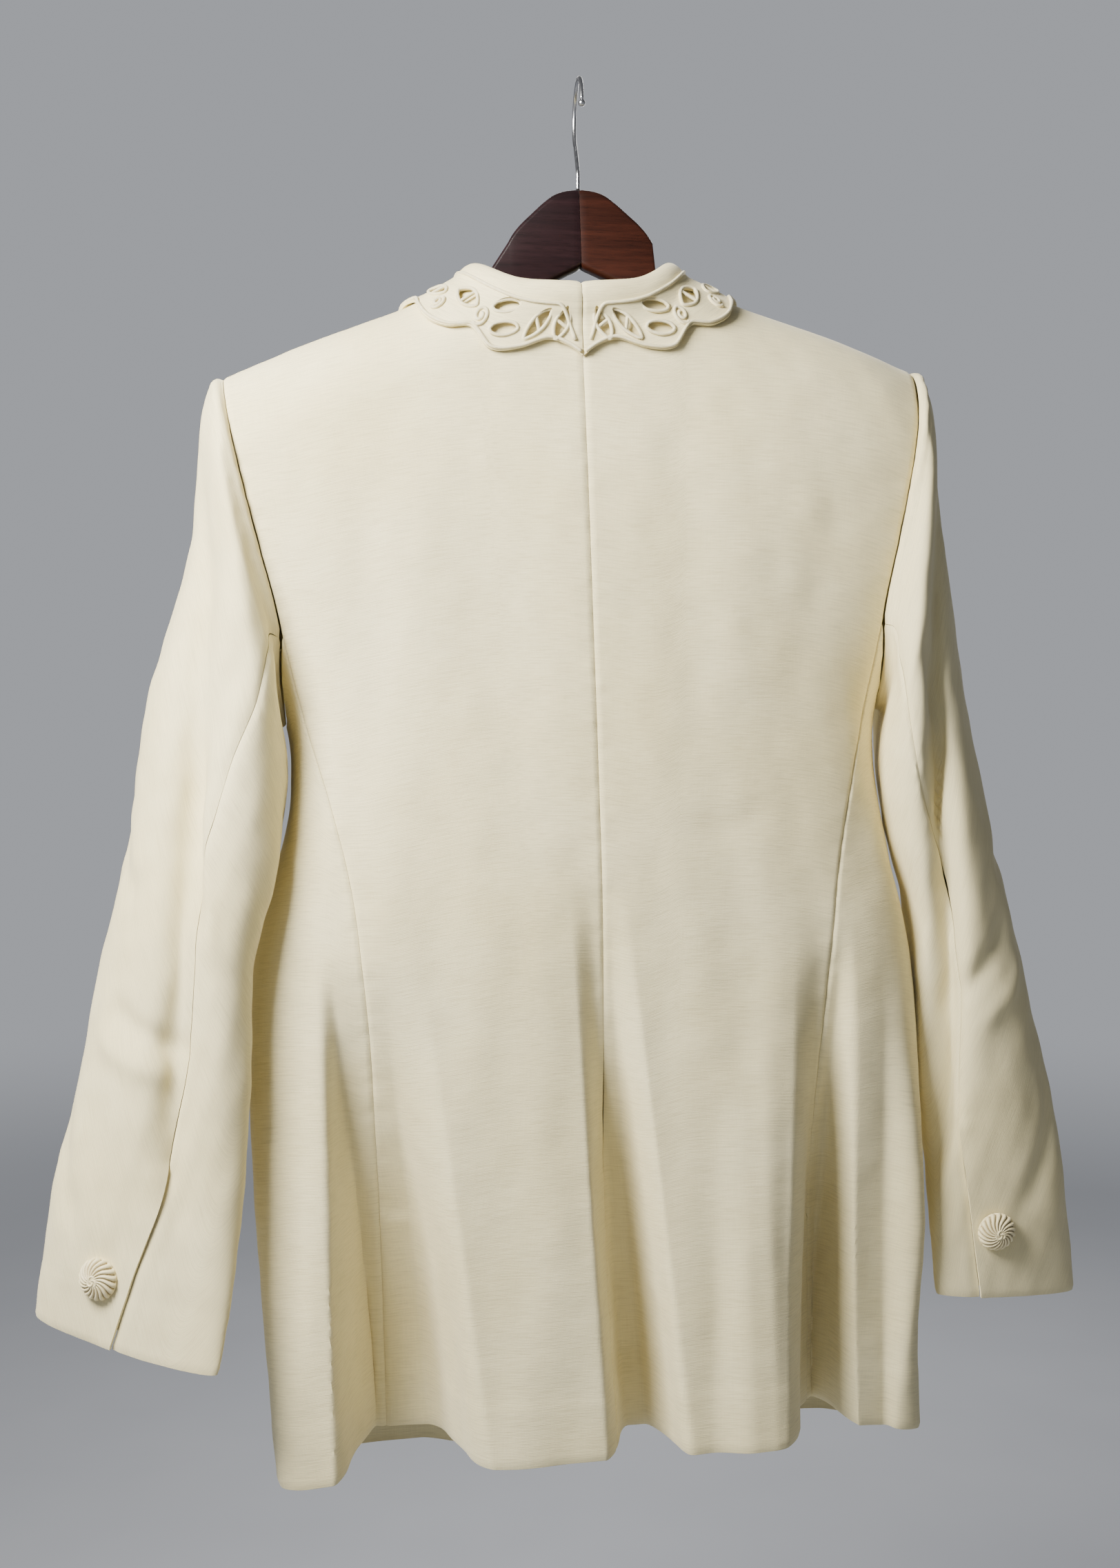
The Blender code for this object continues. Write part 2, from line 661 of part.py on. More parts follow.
def hanger_half(name, side, look, collection, parent):
    """Half of the wooden hanger: rounded sections along the arm."""
    start = -HANG_SLIP + side * SEAM_GAP / 2
    domed = [start + side * WOOD_DOME_HALF * math.sin(math.radians(10 * i)) for i in range(9)]
    neck_edge = side * WOOD_NECK
    arm = 12
    xs = domed + [neck_edge + (side * WOOD_TIP_X - neck_edge) * i / arm for i in range(arm + 1)]
    bm = bmesh.new()
    rings = []
    for x in xs:
        top, bottom = wood_top(x), wood_bottom(x)
        end = ease((WOOD_TIP_X + 1 - abs(x)) / 8)
        half = WOOD_THICK / 2 * (0.6 + 0.4 * end)
        middle = (top + bottom) / 2
        high = (top - bottom) / 2 * (0.75 + 0.25 * end)
        inner, inner_high = half - WOOD_ROUND, high - WOOD_ROUND
        section = [
            (-half, -inner_high), (-inner, -high), (inner, -high), (half, -inner_high),
            (half, inner_high), (inner, high), (-inner, high), (-half, inner_high),
        ]
        rings.append([bm.verts.new(Vector((x, y, middle + z)) * MM) for y, z in section])
    for one, two in zip(rings, rings[1:]):
        for i in range(8):
            bm.faces.new([one[i], one[(i + 1) % 8], two[(i + 1) % 8], two[i]])
    bm.faces.new(rings[0])
    bm.faces.new(list(reversed(rings[-1])))
    bmesh.ops.recalc_face_normals(bm, faces=bm.faces)
    mesh = bpy.data.meshes.new(name)
    bm.to_mesh(mesh)
    bm.free()
    mesh.shade_smooth()
    mesh.set_sharp_from_angle(angle=math.radians(50))
    return add_object(name, mesh, look, collection, parent)


def hook_wire(look, collection):
    """Steel wire: up from the wood, behind the rod, over it and down in front, in the y-z plane."""
    crown_z = HOOK_WIRE - HOOK_RADIUS
    points = [(0.0, WOOD_TOP_Z + SEAM_GAP + 0.1), (0.0, crown_z - HOOK_RADIUS - HOOK_SHANK)]
    for degrees in range(HOOK_FIRST, HOOK_LAST, HOOK_STEP):
        turn = math.radians(degrees)
        points.append((HOOK_RADIUS * math.cos(turn), crown_z + HOOK_RADIUS * math.sin(turn)))
    curve = bpy.data.curves.new("hook_path", "CURVE")
    curve.dimensions = "3D"
    curve.bevel_depth = HOOK_WIRE * MM
    curve.bevel_resolution = 2
    curve.use_fill_caps = True
    spline = curve.splines.new("POLY")
    spline.points.add(len(points) - 1)
    for spot, (y, z) in zip(spline.points, points):
        spot.co = (0.0, y * MM, z * MM, 1.0)
    made = bpy.data.objects.new("hook", curve)
    curve.materials.append(look)
    collection.objects.link(made)
    end_y, end_z = points[-1]
    bpy.ops.mesh.primitive_uv_sphere_add(
        segments=12, ring_count=8, radius=HOOK_BALL * MM,
        location=(0.0, end_y * MM, (end_z - HOOK_BALL - SEAM_GAP) * MM),
    )
    ball = bpy.context.object
    ball.name = "hook_ball"
    ball.data.shade_smooth()
    ball.data.materials.append(look)
    for owner in list(ball.users_collection):
        owner.objects.unlink(ball)
    collection.objects.link(ball)


def button_mesh():
    """Domed button turned from half its outline."""
    mesh = bpy.data.meshes.new("button_outline")
    verts = [(radius * MM, 0, height * MM) for radius, height in BUTTON_OUTLINE]
    mesh.from_pydata(verts, [(i, i + 1) for i in range(len(verts) - 1)], [])
    return mesh


def add_button(name, mesh, point, normal, look, collection, parent):
    made = add_object(name, mesh.copy(), look, collection, parent)
    made.location = (point + normal * SEAM_GAP) * MM
    made.rotation_euler = normal.to_track_quat("Z", "X").to_euler()
    screw = made.modifiers.new("turned", "SCREW")
    screw.axis = "Z"
    screw.steps = BUTTON_STEPS
    screw.render_steps = BUTTON_STEPS
    screw.use_merge_vertices = True
    screw.merge_threshold = 0.00001
    return made


def sleeve_button_place(side):
    along = CUFF_BUTTON_ALONG
    angle = sleeve_seam(side, along)[0] - CUFF_BUTTON_TURN
    point = sleeve_point(side, along, angle)
    across = sleeve_point(side, along, angle + 0.5) - sleeve_point(side, along, angle - 0.5)
    down = sleeve_point(side, along + 0.002, angle) - sleeve_point(side, along - 0.002, angle)
    normal = across.cross(down).normalized()
    if normal.y > 0:
        normal = -normal
    return point, normal


def build():
    for old in list(bpy.data.objects):
        bpy.data.objects.remove(old, do_unlink=True)
    parts = bpy.data.collections.new("suit_jacket_on_hanger")
    tools = bpy.data.collections.new("cutters")
    bpy.context.scene.collection.children.link(parts)
    bpy.context.scene.collection.children.link(tools)

    hang = bpy.data.objects.new("hang", None)
    parts.objects.link(hang)
    tip = Euler((0, -math.radians(HANG_TIP), 0))
    pivot = Vector((0, 0, WOOD_TOP_Z))
    slipped = Vector((HANG_SLIP, 0, 0)) - pivot
    slipped.rotate(tip)
    hang.location = (slipped + pivot) * MM
    hang.rotation_euler = tip

    for side, word in ((-1, "left"), (1, "right")):
        def look(piece):
            return material(f"cream_cloth_{piece}_{word}", CREAM, 0.9)

        panel_rows = SEAM_ROWS + ARMHOLE_ROWS
        pieces = [
            ("back", back_panel(side), BACK_COLUMNS, panel_rows, side),
            ("side", side_panel(side), SIDE_COLUMNS, SEAM_ROWS, side),
            ("front", front_panel(side), FRONT_COLUMNS, panel_rows, -side),
            ("sleeve_top", sleeve_panel(side, "top"), 2 * ARMHOLE_ROWS, SLEEVE_ROWS, side),
            ("sleeve_under", sleeve_panel(side, "under"), SIDE_COLUMNS, SLEEVE_ROWS, side),
            ("collar", collar_half(side), COLLAR_COLUMNS, COLLAR_ROWS, -side),
        ]
        for piece, surface, columns, rows, outward in pieces:
            cloth_wall(f"{piece}_{word}", surface, columns, rows, outward, look(piece), parts, hang)
        cut = parts.objects[f"collar_{word}"].modifiers.new("cutwork", "BOOLEAN")
        cut.operation = "DIFFERENCE"
        cut.solver = "EXACT"
        cut.object = cutter(f"cutwork_{word}", side, tools, hang)
        hanger_half(f"hanger_{word}", side, material(f"wood_{word}", MAHOGANY, 0.35), parts, hang)

    disc = button_mesh()
    for side, word in ((-1, "left"), (1, "right")):
        point, normal = sleeve_button_place(side)
        cord = material(f"cord_{word}", HORN_CREAM, 0.7)
        add_button(f"cuff_button_{word}", disc, point, normal, cord, parts, hang)
    for number in range(FRONT_BUTTONS):
        z = FRONT_BUTTON_TOP_Z - FRONT_BUTTON_PITCH * number
        point = over_body(0.0, over_at(0.0, z), 0.3)
        normal = (over_body(0.0, over_at(0.0, z), 1.3) - point).normalized()
        cord = material(f"cord_front_{number + 1}", HORN_CREAM, 0.7)
        add_button(f"front_button_{number + 1}", disc, point, normal, cord, parts, hang)
    bpy.data.meshes.remove(disc)
    hook_wire(material("steel", STEEL, 0.3, 1.0), parts)


build()
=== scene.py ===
"""A long cream suit jacket with a cutwork collar, hung on a dark wooden hanger, seen from the back.

The cloth is worked out in the jacket's own frame, in millimetres: x across, y from back (-) to
front (+), z up, with the centre-back seam at x = 0. It is then tipped about the top of the wood,
as the jacket hangs, and scaled to metres.
"""

import math

import bmesh
import bpy
import numpy as np
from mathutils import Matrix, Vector


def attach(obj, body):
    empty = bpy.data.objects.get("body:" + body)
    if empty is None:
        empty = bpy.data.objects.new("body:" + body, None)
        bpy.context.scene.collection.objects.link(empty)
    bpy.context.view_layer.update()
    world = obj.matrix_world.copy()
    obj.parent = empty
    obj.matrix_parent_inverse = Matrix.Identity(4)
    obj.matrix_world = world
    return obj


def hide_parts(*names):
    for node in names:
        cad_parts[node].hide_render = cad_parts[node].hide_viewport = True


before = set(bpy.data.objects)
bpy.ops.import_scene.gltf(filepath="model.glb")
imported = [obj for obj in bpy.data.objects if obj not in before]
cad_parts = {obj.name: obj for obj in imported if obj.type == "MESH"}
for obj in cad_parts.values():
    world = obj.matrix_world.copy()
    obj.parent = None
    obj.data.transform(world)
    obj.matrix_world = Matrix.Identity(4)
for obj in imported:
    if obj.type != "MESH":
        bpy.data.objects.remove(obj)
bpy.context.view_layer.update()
BODY = "root"

MM = 0.001
PHOTO_HEIGHT = 2274
SEAM_GAP = 0.16
CLOTH = 1.7

# How the jacket hangs: tipped about the top of the wood, and slipped a little to one side of it
HANG_TIP = 2.0
HANG_SLIP = -7.5
WOOD_TOP_Z = -69.0

# Body lengths
HEM_Z = -860.0
FRONT_HEM_DROP = 18.0
SHOULDER_TIP_X = 219.0
SHOULDER_ROUND = 60.0
SHOULDER_WRAP = 80.0
FRONT_LAP = 16.0
UNDER_LAP = 14.0
FRONT_STEP = 3.2
STEP_SPREAD = 20.0

# Neckline, in the shoulder's own flat coordinates (across, over)
NECK_HALF = 62.0
NECK_BACK = 70.0
NECK_FRONT = 100.0

# Armhole
ARMHOLE_MID_Z = -296.0
ARMHOLE_HALF = 108.0
ARMHOLE_JOIN_Z = -352.0
ARMHOLE_JOIN = math.degrees(math.acos((ARMHOLE_JOIN_Z - ARMHOLE_MID_Z) / ARMHOLE_HALF))
SLEEVE_START = 0.0008
SLEEVE_FIT = 0.24
SLEEVE_SEAM_TURN = 0.2

# Share of a panel's outer edge that is seam, below the armhole
SEAM_SHARE = 14 / 22
NECK_SHARE_BACK = 6 / 16
NECK_SHARE_FRONT = 5 / 13

# Collar
COLLAR_LIFT = 3.1
COLLAR_SIDE_X = 110.0
COLLAR_BACK = 96.0
COLLAR_FRONT = 146.0
COLLAR_POINT = 12.0
COLLAR_START = 0.12
COLLAR_END = 171.0
ROLL_DROP = 0.4

# Hook, wood and buttons
HOOK_RADIUS = 21.3
HOOK_WIRE = 1.3
HOOK_BALL = 2.3
HOOK_SHANK = 14.0
WOOD_THICK = 12.0
WOOD_CLEAR = 1.5
NECK_CLEAR = 3.0
NECK_CLEAR_SPREAD = 24.0
WOOD_DOME_HALF = 47.0
WOOD_NECK = 55.5
WOOD_NOTCH_Z = -119.0
WOOD_NOTCH_HALF = 52.0
WOOD_NOTCH_SLOPE = 0.47
WOOD_TIP_X = 205.0
WOOD_DEPTH = 26.0
WOOD_TAPER = 9.0
WOOD_LEAST_DEPTH = 15.0
FRONT_BUTTONS = 4
FRONT_BUTTON_TOP_Z = -300.0
FRONT_BUTTON_PITCH = 95.0
CUFF_BUTTON_ALONG = 0.925
CUFF_BUTTON_TURN = 19.0
BUTTON_STRANDS = 18
BUTTON_HEIGHT = 8.6

# Half the outline of a button, from its rim to its middle: radius, height
BUTTON_DOME = [(0, 8.2), (3, 8.1), (5, 7.7), (9.2, 6.1), (11.6, 3.9), (12.3, 1.9), (12.31, 0)]

# Dome of the wood under the hook: distance out from the middle, drop below its top
WOOD_DOME = [(0, 0), (10, 1.4), (17.5, 4.5), (29.5, 14.5), (42.7, 28), (52, 45), (58, 56)]

# Shoulder line at the top of the cloth: x, z
SHOULDER_LINE = [
    (0, -101), (8, -101.4), (22, -105), (40, -113), (62, -124), (80, -133), (105, -145),
    (130, -154), (165, -166), (192, -176.5), (219, -188), (262, -204),
]

# Body rings: z, half width left and right, depth back and front, squareness
BODY_RINGS = [
    (-80, 262, 262, 52, 44, 2.6),
    (-190, 262, 262, 56, 50, 2.6),
    (-250, 256, 256, 60, 56, 2.6),
    (-300, 236, 236, 61, 60, 2.6),
    (-352, 207, 207, 61, 62, 2.6),
    (-403, 188, 188, 62, 62, 2.6),
    (-450, 187, 187, 62, 62, 2.7),
    (-500, 199, 193, 61, 61, 2.8),
    (-550, 213, 202, 59, 60, 3.0),
    (-600, 218, 206, 57, 59, 3.2),
    (-700, 218, 208, 54, 58, 3.6),
    (-790, 214, 205, 51, 58, 3.9),
    (-880, 209, 203, 50, 58, 4.0),
]

# Armhole edge above the place where the princess seam meets it: z, x
ARMHOLE_EDGE = [(-403, 181), (-352, 187), (-330, 190.5), (-300, 197.5), (-264, 205.5), (-240, 210.5),
                (-215, 215), (-188, 219)]

# Seams at the outer edges of the panels: z, x of the back left one, the back right one and the front ones
PANEL_SEAMS = [
    (-352, 187, 187, 187), (-403, 176, 176, 178), (-450, 163, 162, 168), (-505, 151, 150, 160),
    (-550, 146, 144, 158), (-600, 144, 141, 160), (-650, 145, 140, 162), (-750, 147, 140, 166),
    (-880, 151, 143, 170),
]

# Hanging folds: face, four x at the hem (lip, foot, foot, lip), depth at the hem, x and z where it starts
HEM_FOLDS = [
    (-1, -173, -160, -119, -76, 80, -150, -545),
    (-1, -8, 13, 23, 46, 53, -4, -500),
    (-1, 104, 134, 149, 164, 50, 143, -530),
    (-1, 118, 152, 192, 216, 26, 160, -540),
    (-1, 56, 84, 96, 118, -7, 90, -600),
    (1, -120, -92, -84, -50, 14, -90, -560),
    (1, 40, 74, 84, 122, 16, 80, -520),
    (1, 150, 176, 182, 206, 9, 176, -600),
]

# Sleeve stations: share of the length, centre x y z, vector to the top edge, vector to the back
SLEEVE_RIGHT = [
    (0.00, 202, 0, -296, 17, 0, 108, -4, -42, 0),
    (0.05, 208, 0, -300, 17, 0, 108, -6, -50, 0),
    (0.13, 211, -1, -322, 22, 0, 103, -8, -57, -2),
    (0.26, 213, -2, -372, 24, 0, 82, -12, -61, -5),
    (0.42, 221, -2, -437, 27, 0, 53, -14, -57, -5),
    (0.58, 235, -2, -517, 30, 1, 27, -9, -50, -2),
    (0.72, 248, 0, -611, 40, 3, 11, -3, -40, 0),
    (0.86, 261, 4, -703, 47, 7, 3, 2, -27, 0),
    (1.00, 268, 8, -792, 51, 12, -5, 3, -14, 0),
]
SLEEVE_LEFT = [
    (0.00, 202, 0, -296, 17, 0, 108, -4, -42, 0),
    (0.05, 209, 0, -300, 18, 0, 108, -6, -50, 0),
    (0.13, 212, -1, -322, 23, 0, 103, -9, -57, -2),
    (0.26, 217, -3, -372, 25, 0, 82, -13, -60, -5),
    (0.42, 234, -12, -434, 37, 12, 53, -14, -54, -5),
    (0.58, 251, -25, -520, 41, 14, 24, -11, -45, -2),
    (0.72, 264, -32, -606, 51, 16, 12, -2, -35, 0),
    (0.86, 279, -40, -693, 57, 20, 12, 8, -23, 0),
    (1.00, 292, -50, -768, 57, 30, 12, 6, -11, 0),
]

# Sleeve seams: share of the length, angle of the back seam left and right, angle of the front seam
SLEEVE_SEAMS = [
    (0.00, 122, 122, 238), (0.12, 112, 121, 237), (0.27, 98, 111, 235), (0.43, 88, 103, 232),
    (0.54, 88, 106, 229), (0.66, 104, 112, 223), (0.79, 113, 130, 216), (0.90, 101, 127, 210),
    (1.00, 89, 121, 205),
]

# Sleeve folds: side, angle at the top, angle at the cuff, spread, depth, share where it starts and ends
SLEEVE_FOLDS = [
    (-1, -8, 148, 17, 15, 0.10, 0.92),
    (1, -6, 192, 17, 16, 0.12, 0.90),
    (-1, 300, 285, 24, 7, 0.20, 0.90),
    (1, 300, 280, 24, 7, 0.20, 0.90),
    (-1, 214, 206, 24, 9, 0.28, 0.85),
    (-1, 162, 158, 14, -4, 0.28, 0.62),
    (1, 330, 330, 20, 5, 0.45, 0.95),
]

# Collar section across its width: distance out from the neckline, height over the body
COLLAR_SECTION = [(-4.0, -1.0), (-3.4, 4.5), (-0.5, 8.6), (4.0, 9.0), (9.0, 6.6), (15.0, 4.0), (22.0, 2.8)]

# Collar edge: angle round the neck, how far the edge lies out of or in from the plain oval
COLLAR_SCALLOPS = [
    (0, 0), (12, 0), (20, 2), (30, 1), (38, -6), (42, -8), (50, -4), (60, -3), (70, -6), (78, -9), (90, -3),
    (100, 0), (112, -6), (126, 1), (140, -5), (154, 1), (166, -4), (180, -6),
]

# Cutwork openings of one half of the back collar: across, over, slant, length, width, bluntness
CUTWORK = [
    (12.5, -87.5, 115, 19, 9.0, 0.8),
    (27.0, -83.0, 151, 20, 9.2, 0.8),
    (47.5, -76.5, 22, 18, 6.4, 0.5),
    (44.5, -66.0, 22, 18, 6.4, 0.5),
    (67.0, -48.0, 62, 20, 9.5, 0.8),
    (84.0, -26.0, 62, 18, 8.5, 0.7),
]

# Cords on the collar: radius, lift over the cloth and distance in from the edge
CORD_RADIUS = 1.15
CORD_LIFT = 0.35
EDGE_CORD_INSET = 1.3

# Line of cord under the roll: its distance from the fold, and the angle from which it sweeps out to the edge.
# An opening wider than the next value gets a bar of cord across it, at this slant in degrees.
ROLL_LINE = 8.5
ROLL_LINE_TURN = 13.0
WIDE_OPENING = 8.0
BAR_SLANT = 20.0

# Curls of cord on the collar: across, over, size
CURLS = [(60.5, -63.5, 5.2), (84.5, -40.0, 4.6)]

# Creases of the body: face, x and z at its two ends, half width, depth (below 0 stands proud)
BODY_CREASES = [
    (-1, -150, -250, -120, -420, 16, 1.6),
    (-1, 152, -262, 128, -430, 15, 1.5),
    (-1, -60, -210, -52, -520, 22, 1.2),
    (-1, 66, -220, 60, -560, 22, 1.1),
    (-1, -112, -470, -40, -505, 11, 1.0),
    (-1, 40, -480, 108, -470, 11, 0.9),
    (-1, -34, -560, -44, -840, 16, -1.6),
    (-1, 66, -600, 60, -850, 12, 1.8),
    (-1, 96, -560, 104, -850, 12, -1.4),
    (-1, -176, -640, -190, -850, 10, -1.6),
    (-1, 176, -380, 170, -520, 12, 1.2),
    (1, -140, -250, -110, -430, 16, 1.6),
    (1, 138, -260, 112, -440, 16, 1.5),
    (1, -64, -330, -52, -700, 20, 1.6),
    (1, 60, -340, 50, -560, 20, 1.4),
    (1, -30, -470, -90, -500, 11, 1.0),
    (1, 118, -600, 128, -860, 13, -1.8),
    (1, -130, -640, -140, -870, 13, -1.8),
    (1, 26, -560, 22, -860, 14, 1.4),
]

# Creases of the sleeves: side, share and angle at its two ends, half width, depth
SLEEVE_CREASES = [
    (-1, 0.40, 60, 0.60, 96, 7, 3.2),
    (-1, 0.43, 74, 0.62, 108, 6, -2.0),
    (-1, 0.67, 34, 0.71, 110, 7, 2.6),
    (-1, 0.70, 30, 0.735, 100, 7, -1.8),
    (-1, 0.24, 88, 0.42, 60, 9, 1.8),
    (-1, 0.76, 10, 0.90, 60, 9, 1.8),
    (-1, 0.52, 340, 0.60, 40, 9, 2.0),
    (-1, 0.60, 240, 0.68, 330, 9, 1.8),
    (-1, 0.34, 300, 0.40, 350, 10, 1.6),
    (1, 0.40, 66, 0.52, 98, 7, 2.6),
    (1, 0.44, 70, 0.56, 104, 6, -1.8),
    (1, 0.63, 40, 0.69, 118, 8, 2.4),
    (1, 0.67, 30, 0.72, 100, 7, -1.6),
    (1, 0.24, 92, 0.40, 62, 9, 1.6),
    (1, 0.78, 30, 0.92, 84, 9, 1.8),
    (1, 0.55, 340, 0.62, 40, 9, 1.8),
    (1, 0.62, 236, 0.70, 320, 9, 1.8),
    (1, 0.32, 300, 0.38, 355, 10, 1.6),
]

# Soft waves of the cloth: height, seed, size, stretch
BODY_WAVES = [(0.95, 11, 62, 5.0), (0.18, 12, 24, 2.4)]
SLEEVE_WAVES = [(0.75, 21, 56, 3.6), (0.30, 22, 20, 2.0)]

# Length of a sleeve that its creases are laid out on, and how much deeper than their rows they are
SLEEVE_REACH = 600.0
CREASE_GAIN = 1.5

# Edges and hems: how far and how widely an edge turns in, depths and heights of the hem and the cuff
EDGE_TURN = 0.9
EDGE_SPREAD = 1.4
HEM_STEP = 3
HEM_DEPTH = 40
HEM_HEIGHT = 0.30
CUFF_DEPTH = 34
CUFF_HEIGHT = 0.25

# Share of a sleeve's length where its vent starts, and height of its roped head
VENT_START = 0.80
ROPE_HEIGHT = 1.5

# Buttons: share of the ball that becomes the dome, slant and height of its ridges, size of its knot
DOME_SHARE = 0.8
RIDGE_SLANT = 0.075
RIDGE_HEIGHT = 2.1
KNOT_RADIUS = 2.0
KNOT_SWING = 1.15
KNOT_CORD = 0.62

# Columns and rows of each cloth piece's grid
GRIDS = {
    "back": (112, 240), "side": (104, 160), "front": (72, 240),
    "sleeve_top": (64, 200), "sleeve_under": (48, 180), "collar": (150, 40),
}

# Wood tones of each half, light and dark stops of its grain: one wood, with painted shade on the left half,
# which is darker, and painted light on the right half, which is lighter and redder
WOOD_LIT_AND_SHADED_TONES = {
    -1: ((0.0150, 0.0060, 0.0070), (0.0065, 0.0028, 0.0034)),
    1: ((0.0300, 0.0080, 0.0042), (0.0120, 0.0036, 0.0022)),
}

# Lights: name, place, size, power, colour. They all look at one place on the jacket.
LIGHTS = [
    ("key", (-0.66, -0.56, 0.12), 0.45, 38.0, (1.0, 0.98, 0.93)),
    ("fill", (-1.6, -2.0, -0.2), 1.6, 6.0, (0.80, 0.88, 1.0)),
    ("front", (0.8, 2.6, 0.8), 1.8, 44.0, (1.0, 0.98, 0.95)),
]
LIT_PLACE = (0, 0, -0.45)

# Camera: place, turn to the right in degrees, focal length in pixels of the photo, sensor width
CAMERA_PLACE = (-0.1211, -1.0431, -0.4475)
CAMERA_TURN = 6
FOCAL_PIXELS = 2386.0
SENSOR = 36.0

# Backdrop colour, its brightness, and the brightness of its light on the jacket
BACKDROP = (0.90, 0.93, 1.0)
BACKDROP_LIGHT = 0.42
FILL_LIGHT = 0.13
FLOOR_Z = -1.6

STATIONS = {-1: SLEEVE_LEFT, 1: SLEEVE_RIGHT}
WORDS = {-1: "left", 1: "right"}
TABLES = {}


def table_column(rows, column):
    """Keys, values and slopes of one column of a table, sorted along its first column."""
    key = (id(rows), column)
    if key not in TABLES:
        ordered = np.array(sorted(rows), float)
        keys, values = ordered[:, 0], ordered[:, column]
        before = np.maximum(np.arange(len(keys)) - 1, 0)
        after = np.minimum(np.arange(len(keys)) + 1, len(keys) - 1)
        slopes = (values[after] - values[before]) / (keys[after] - keys[before])
        TABLES[key] = keys, values, slopes
    return TABLES[key]


def blend(rows, at, column=1):
    """Value of a table's column at places along its first column, with a smooth curve through the rows."""
    keys, values, slopes = table_column(rows, column)
    at = np.clip(at, keys[0], keys[-1])
    low = np.clip(np.searchsorted(keys, at) - 1, 0, len(keys) - 2)
    span = keys[low + 1] - keys[low]
    share = (at - keys[low]) / span
    start, end = slopes[low] * span, slopes[low + 1] * span
    rise = values[low + 1] - values[low]
    return (
        values[low]
        + start * share
        + (3 * rise - 2 * start - end) * share**2
        + (start + end - 2 * rise) * share**3
    )


def ease(share):
    """Smooth step from 0 to 1."""
    share = np.clip(share, 0.0, 1.0)
    return share * share * (3 - 2 * share)


def stack(x, y, z):
    return np.stack(np.broadcast_arrays(x, y, z), axis=-1).astype(float)


def length_of(vectors):
    return np.sqrt((vectors**2).sum(-1))


def unit(vectors):
    return vectors / np.maximum(length_of(vectors), 1e-9)[..., None]


def hem_fold(face, x, z):
    """How far the hanging folds push the cloth in at places on the back (-1) or the front (1)."""
    total = 0.0
    for row_face, lip_a, foot_a, foot_b, lip_b, depth, start_x, start_z in HEM_FOLDS:
        down = np.maximum((start_z - z) / (start_z - HEM_Z), 0.0)
        middle = (foot_a + foot_b) / 2
        centre = start_x + (middle - start_x) * down
        offset = (x - centre) / (0.65 + 0.35 * down) + middle
        inside = ease((offset - lip_a) / (foot_a - lip_a)) * ease((lip_b - offset) / (lip_b - foot_b))
        total = total + depth * inside * ease(down**0.85) * (face == row_face)
    return total


def folded(x, y, z, depth, half, squareness):
    """Body points pushed in along their ring's own outward direction by the folds there."""
    across = (np.abs(x) / half) ** (squareness - 1) / half * np.sign(x)
    along = (np.abs(y) / depth) ** (squareness - 1) / depth * np.sign(y)
    size = np.maximum(np.hypot(across, along), 1e-9)
    push = hem_fold(np.where(y < 0, -1, 1), x, z) * ease(np.abs(y) / (0.45 * depth))
    return stack(x - push * across / size, y - push * along / size, z)


def wrap_turn(over):
    """Turn over the shoulder, and drop below its top, at distances from the shoulder seam."""
    over = np.abs(over)
    turn = np.minimum(over / SHOULDER_WRAP, 1.0) * math.pi / 2
    return np.sin(turn), SHOULDER_ROUND * (1 - np.cos(turn)) + np.maximum(over - SHOULDER_WRAP, 0.0)


def over_at(x, z):
    """Distance from the shoulder seam of heights z at x."""
    drop = np.maximum(blend(SHOULDER_LINE, np.abs(x)) - z, 0.0)
    turned = np.arccos(1 - np.minimum(drop / SHOULDER_ROUND, 1.0)) / (math.pi / 2) * SHOULDER_WRAP
    return np.where(drop < SHOULDER_ROUND, turned, SHOULDER_WRAP + drop - SHOULDER_ROUND)


def ring_size(side, face, z):
    """Half width, depth and squareness of the body's ring."""
    return (
        np.where(side < 0, blend(BODY_RINGS, z, 1), blend(BODY_RINGS, z, 2)),
        np.where(face < 0, blend(BODY_RINGS, z, 3), blend(BODY_RINGS, z, 4)),
        blend(BODY_RINGS, z, 5),
    )


def flat_body(x, over):
    """Back (over < 0) or front (over > 0) of the body, laid over the shoulder line."""
    turn, drop = wrap_turn(over)
    z = blend(SHOULDER_LINE, np.abs(x)) - drop
    half, depth, squareness = ring_size(x, over, z)
    full = depth * np.maximum(1 - (np.abs(x) / half) ** squareness, 1e-6) ** (1 / squareness)
    return folded(x, np.sign(over) * full * turn, z, depth, half, squareness)


def ring_body(angle, z):
    """Body ring below the armhole: angle 0 at the centre back, 90 at the right side, 180 in front."""
    across = np.sin(np.radians(angle))
    along = -np.cos(np.radians(angle))
    half, depth, squareness = ring_size(across, along, z)
    x = half * np.sign(across) * np.abs(across) ** (2 / squareness)
    y = depth * np.sign(along) * np.abs(along) ** (2 / squareness)
    return folded(x, y, z, depth, half, squareness)


def ring_angle(side, x, z):
    """Angle of places on the back half of a ring, from their distance x from the middle."""
    half, _, squareness = ring_size(np.full_like(z, side), np.full_like(z, -1), z)
    return np.degrees(np.arcsin(np.minimum((x / half) ** (squareness / 2), 1.0)))


def panel_seam(side, face, z):
    """Distance from the middle of the seam at the outer edge of a back or front panel."""
    if face > 0:
        return blend(PANEL_SEAMS, z, 3)
    return blend(PANEL_SEAMS, z, 1 if side < 0 else 2)


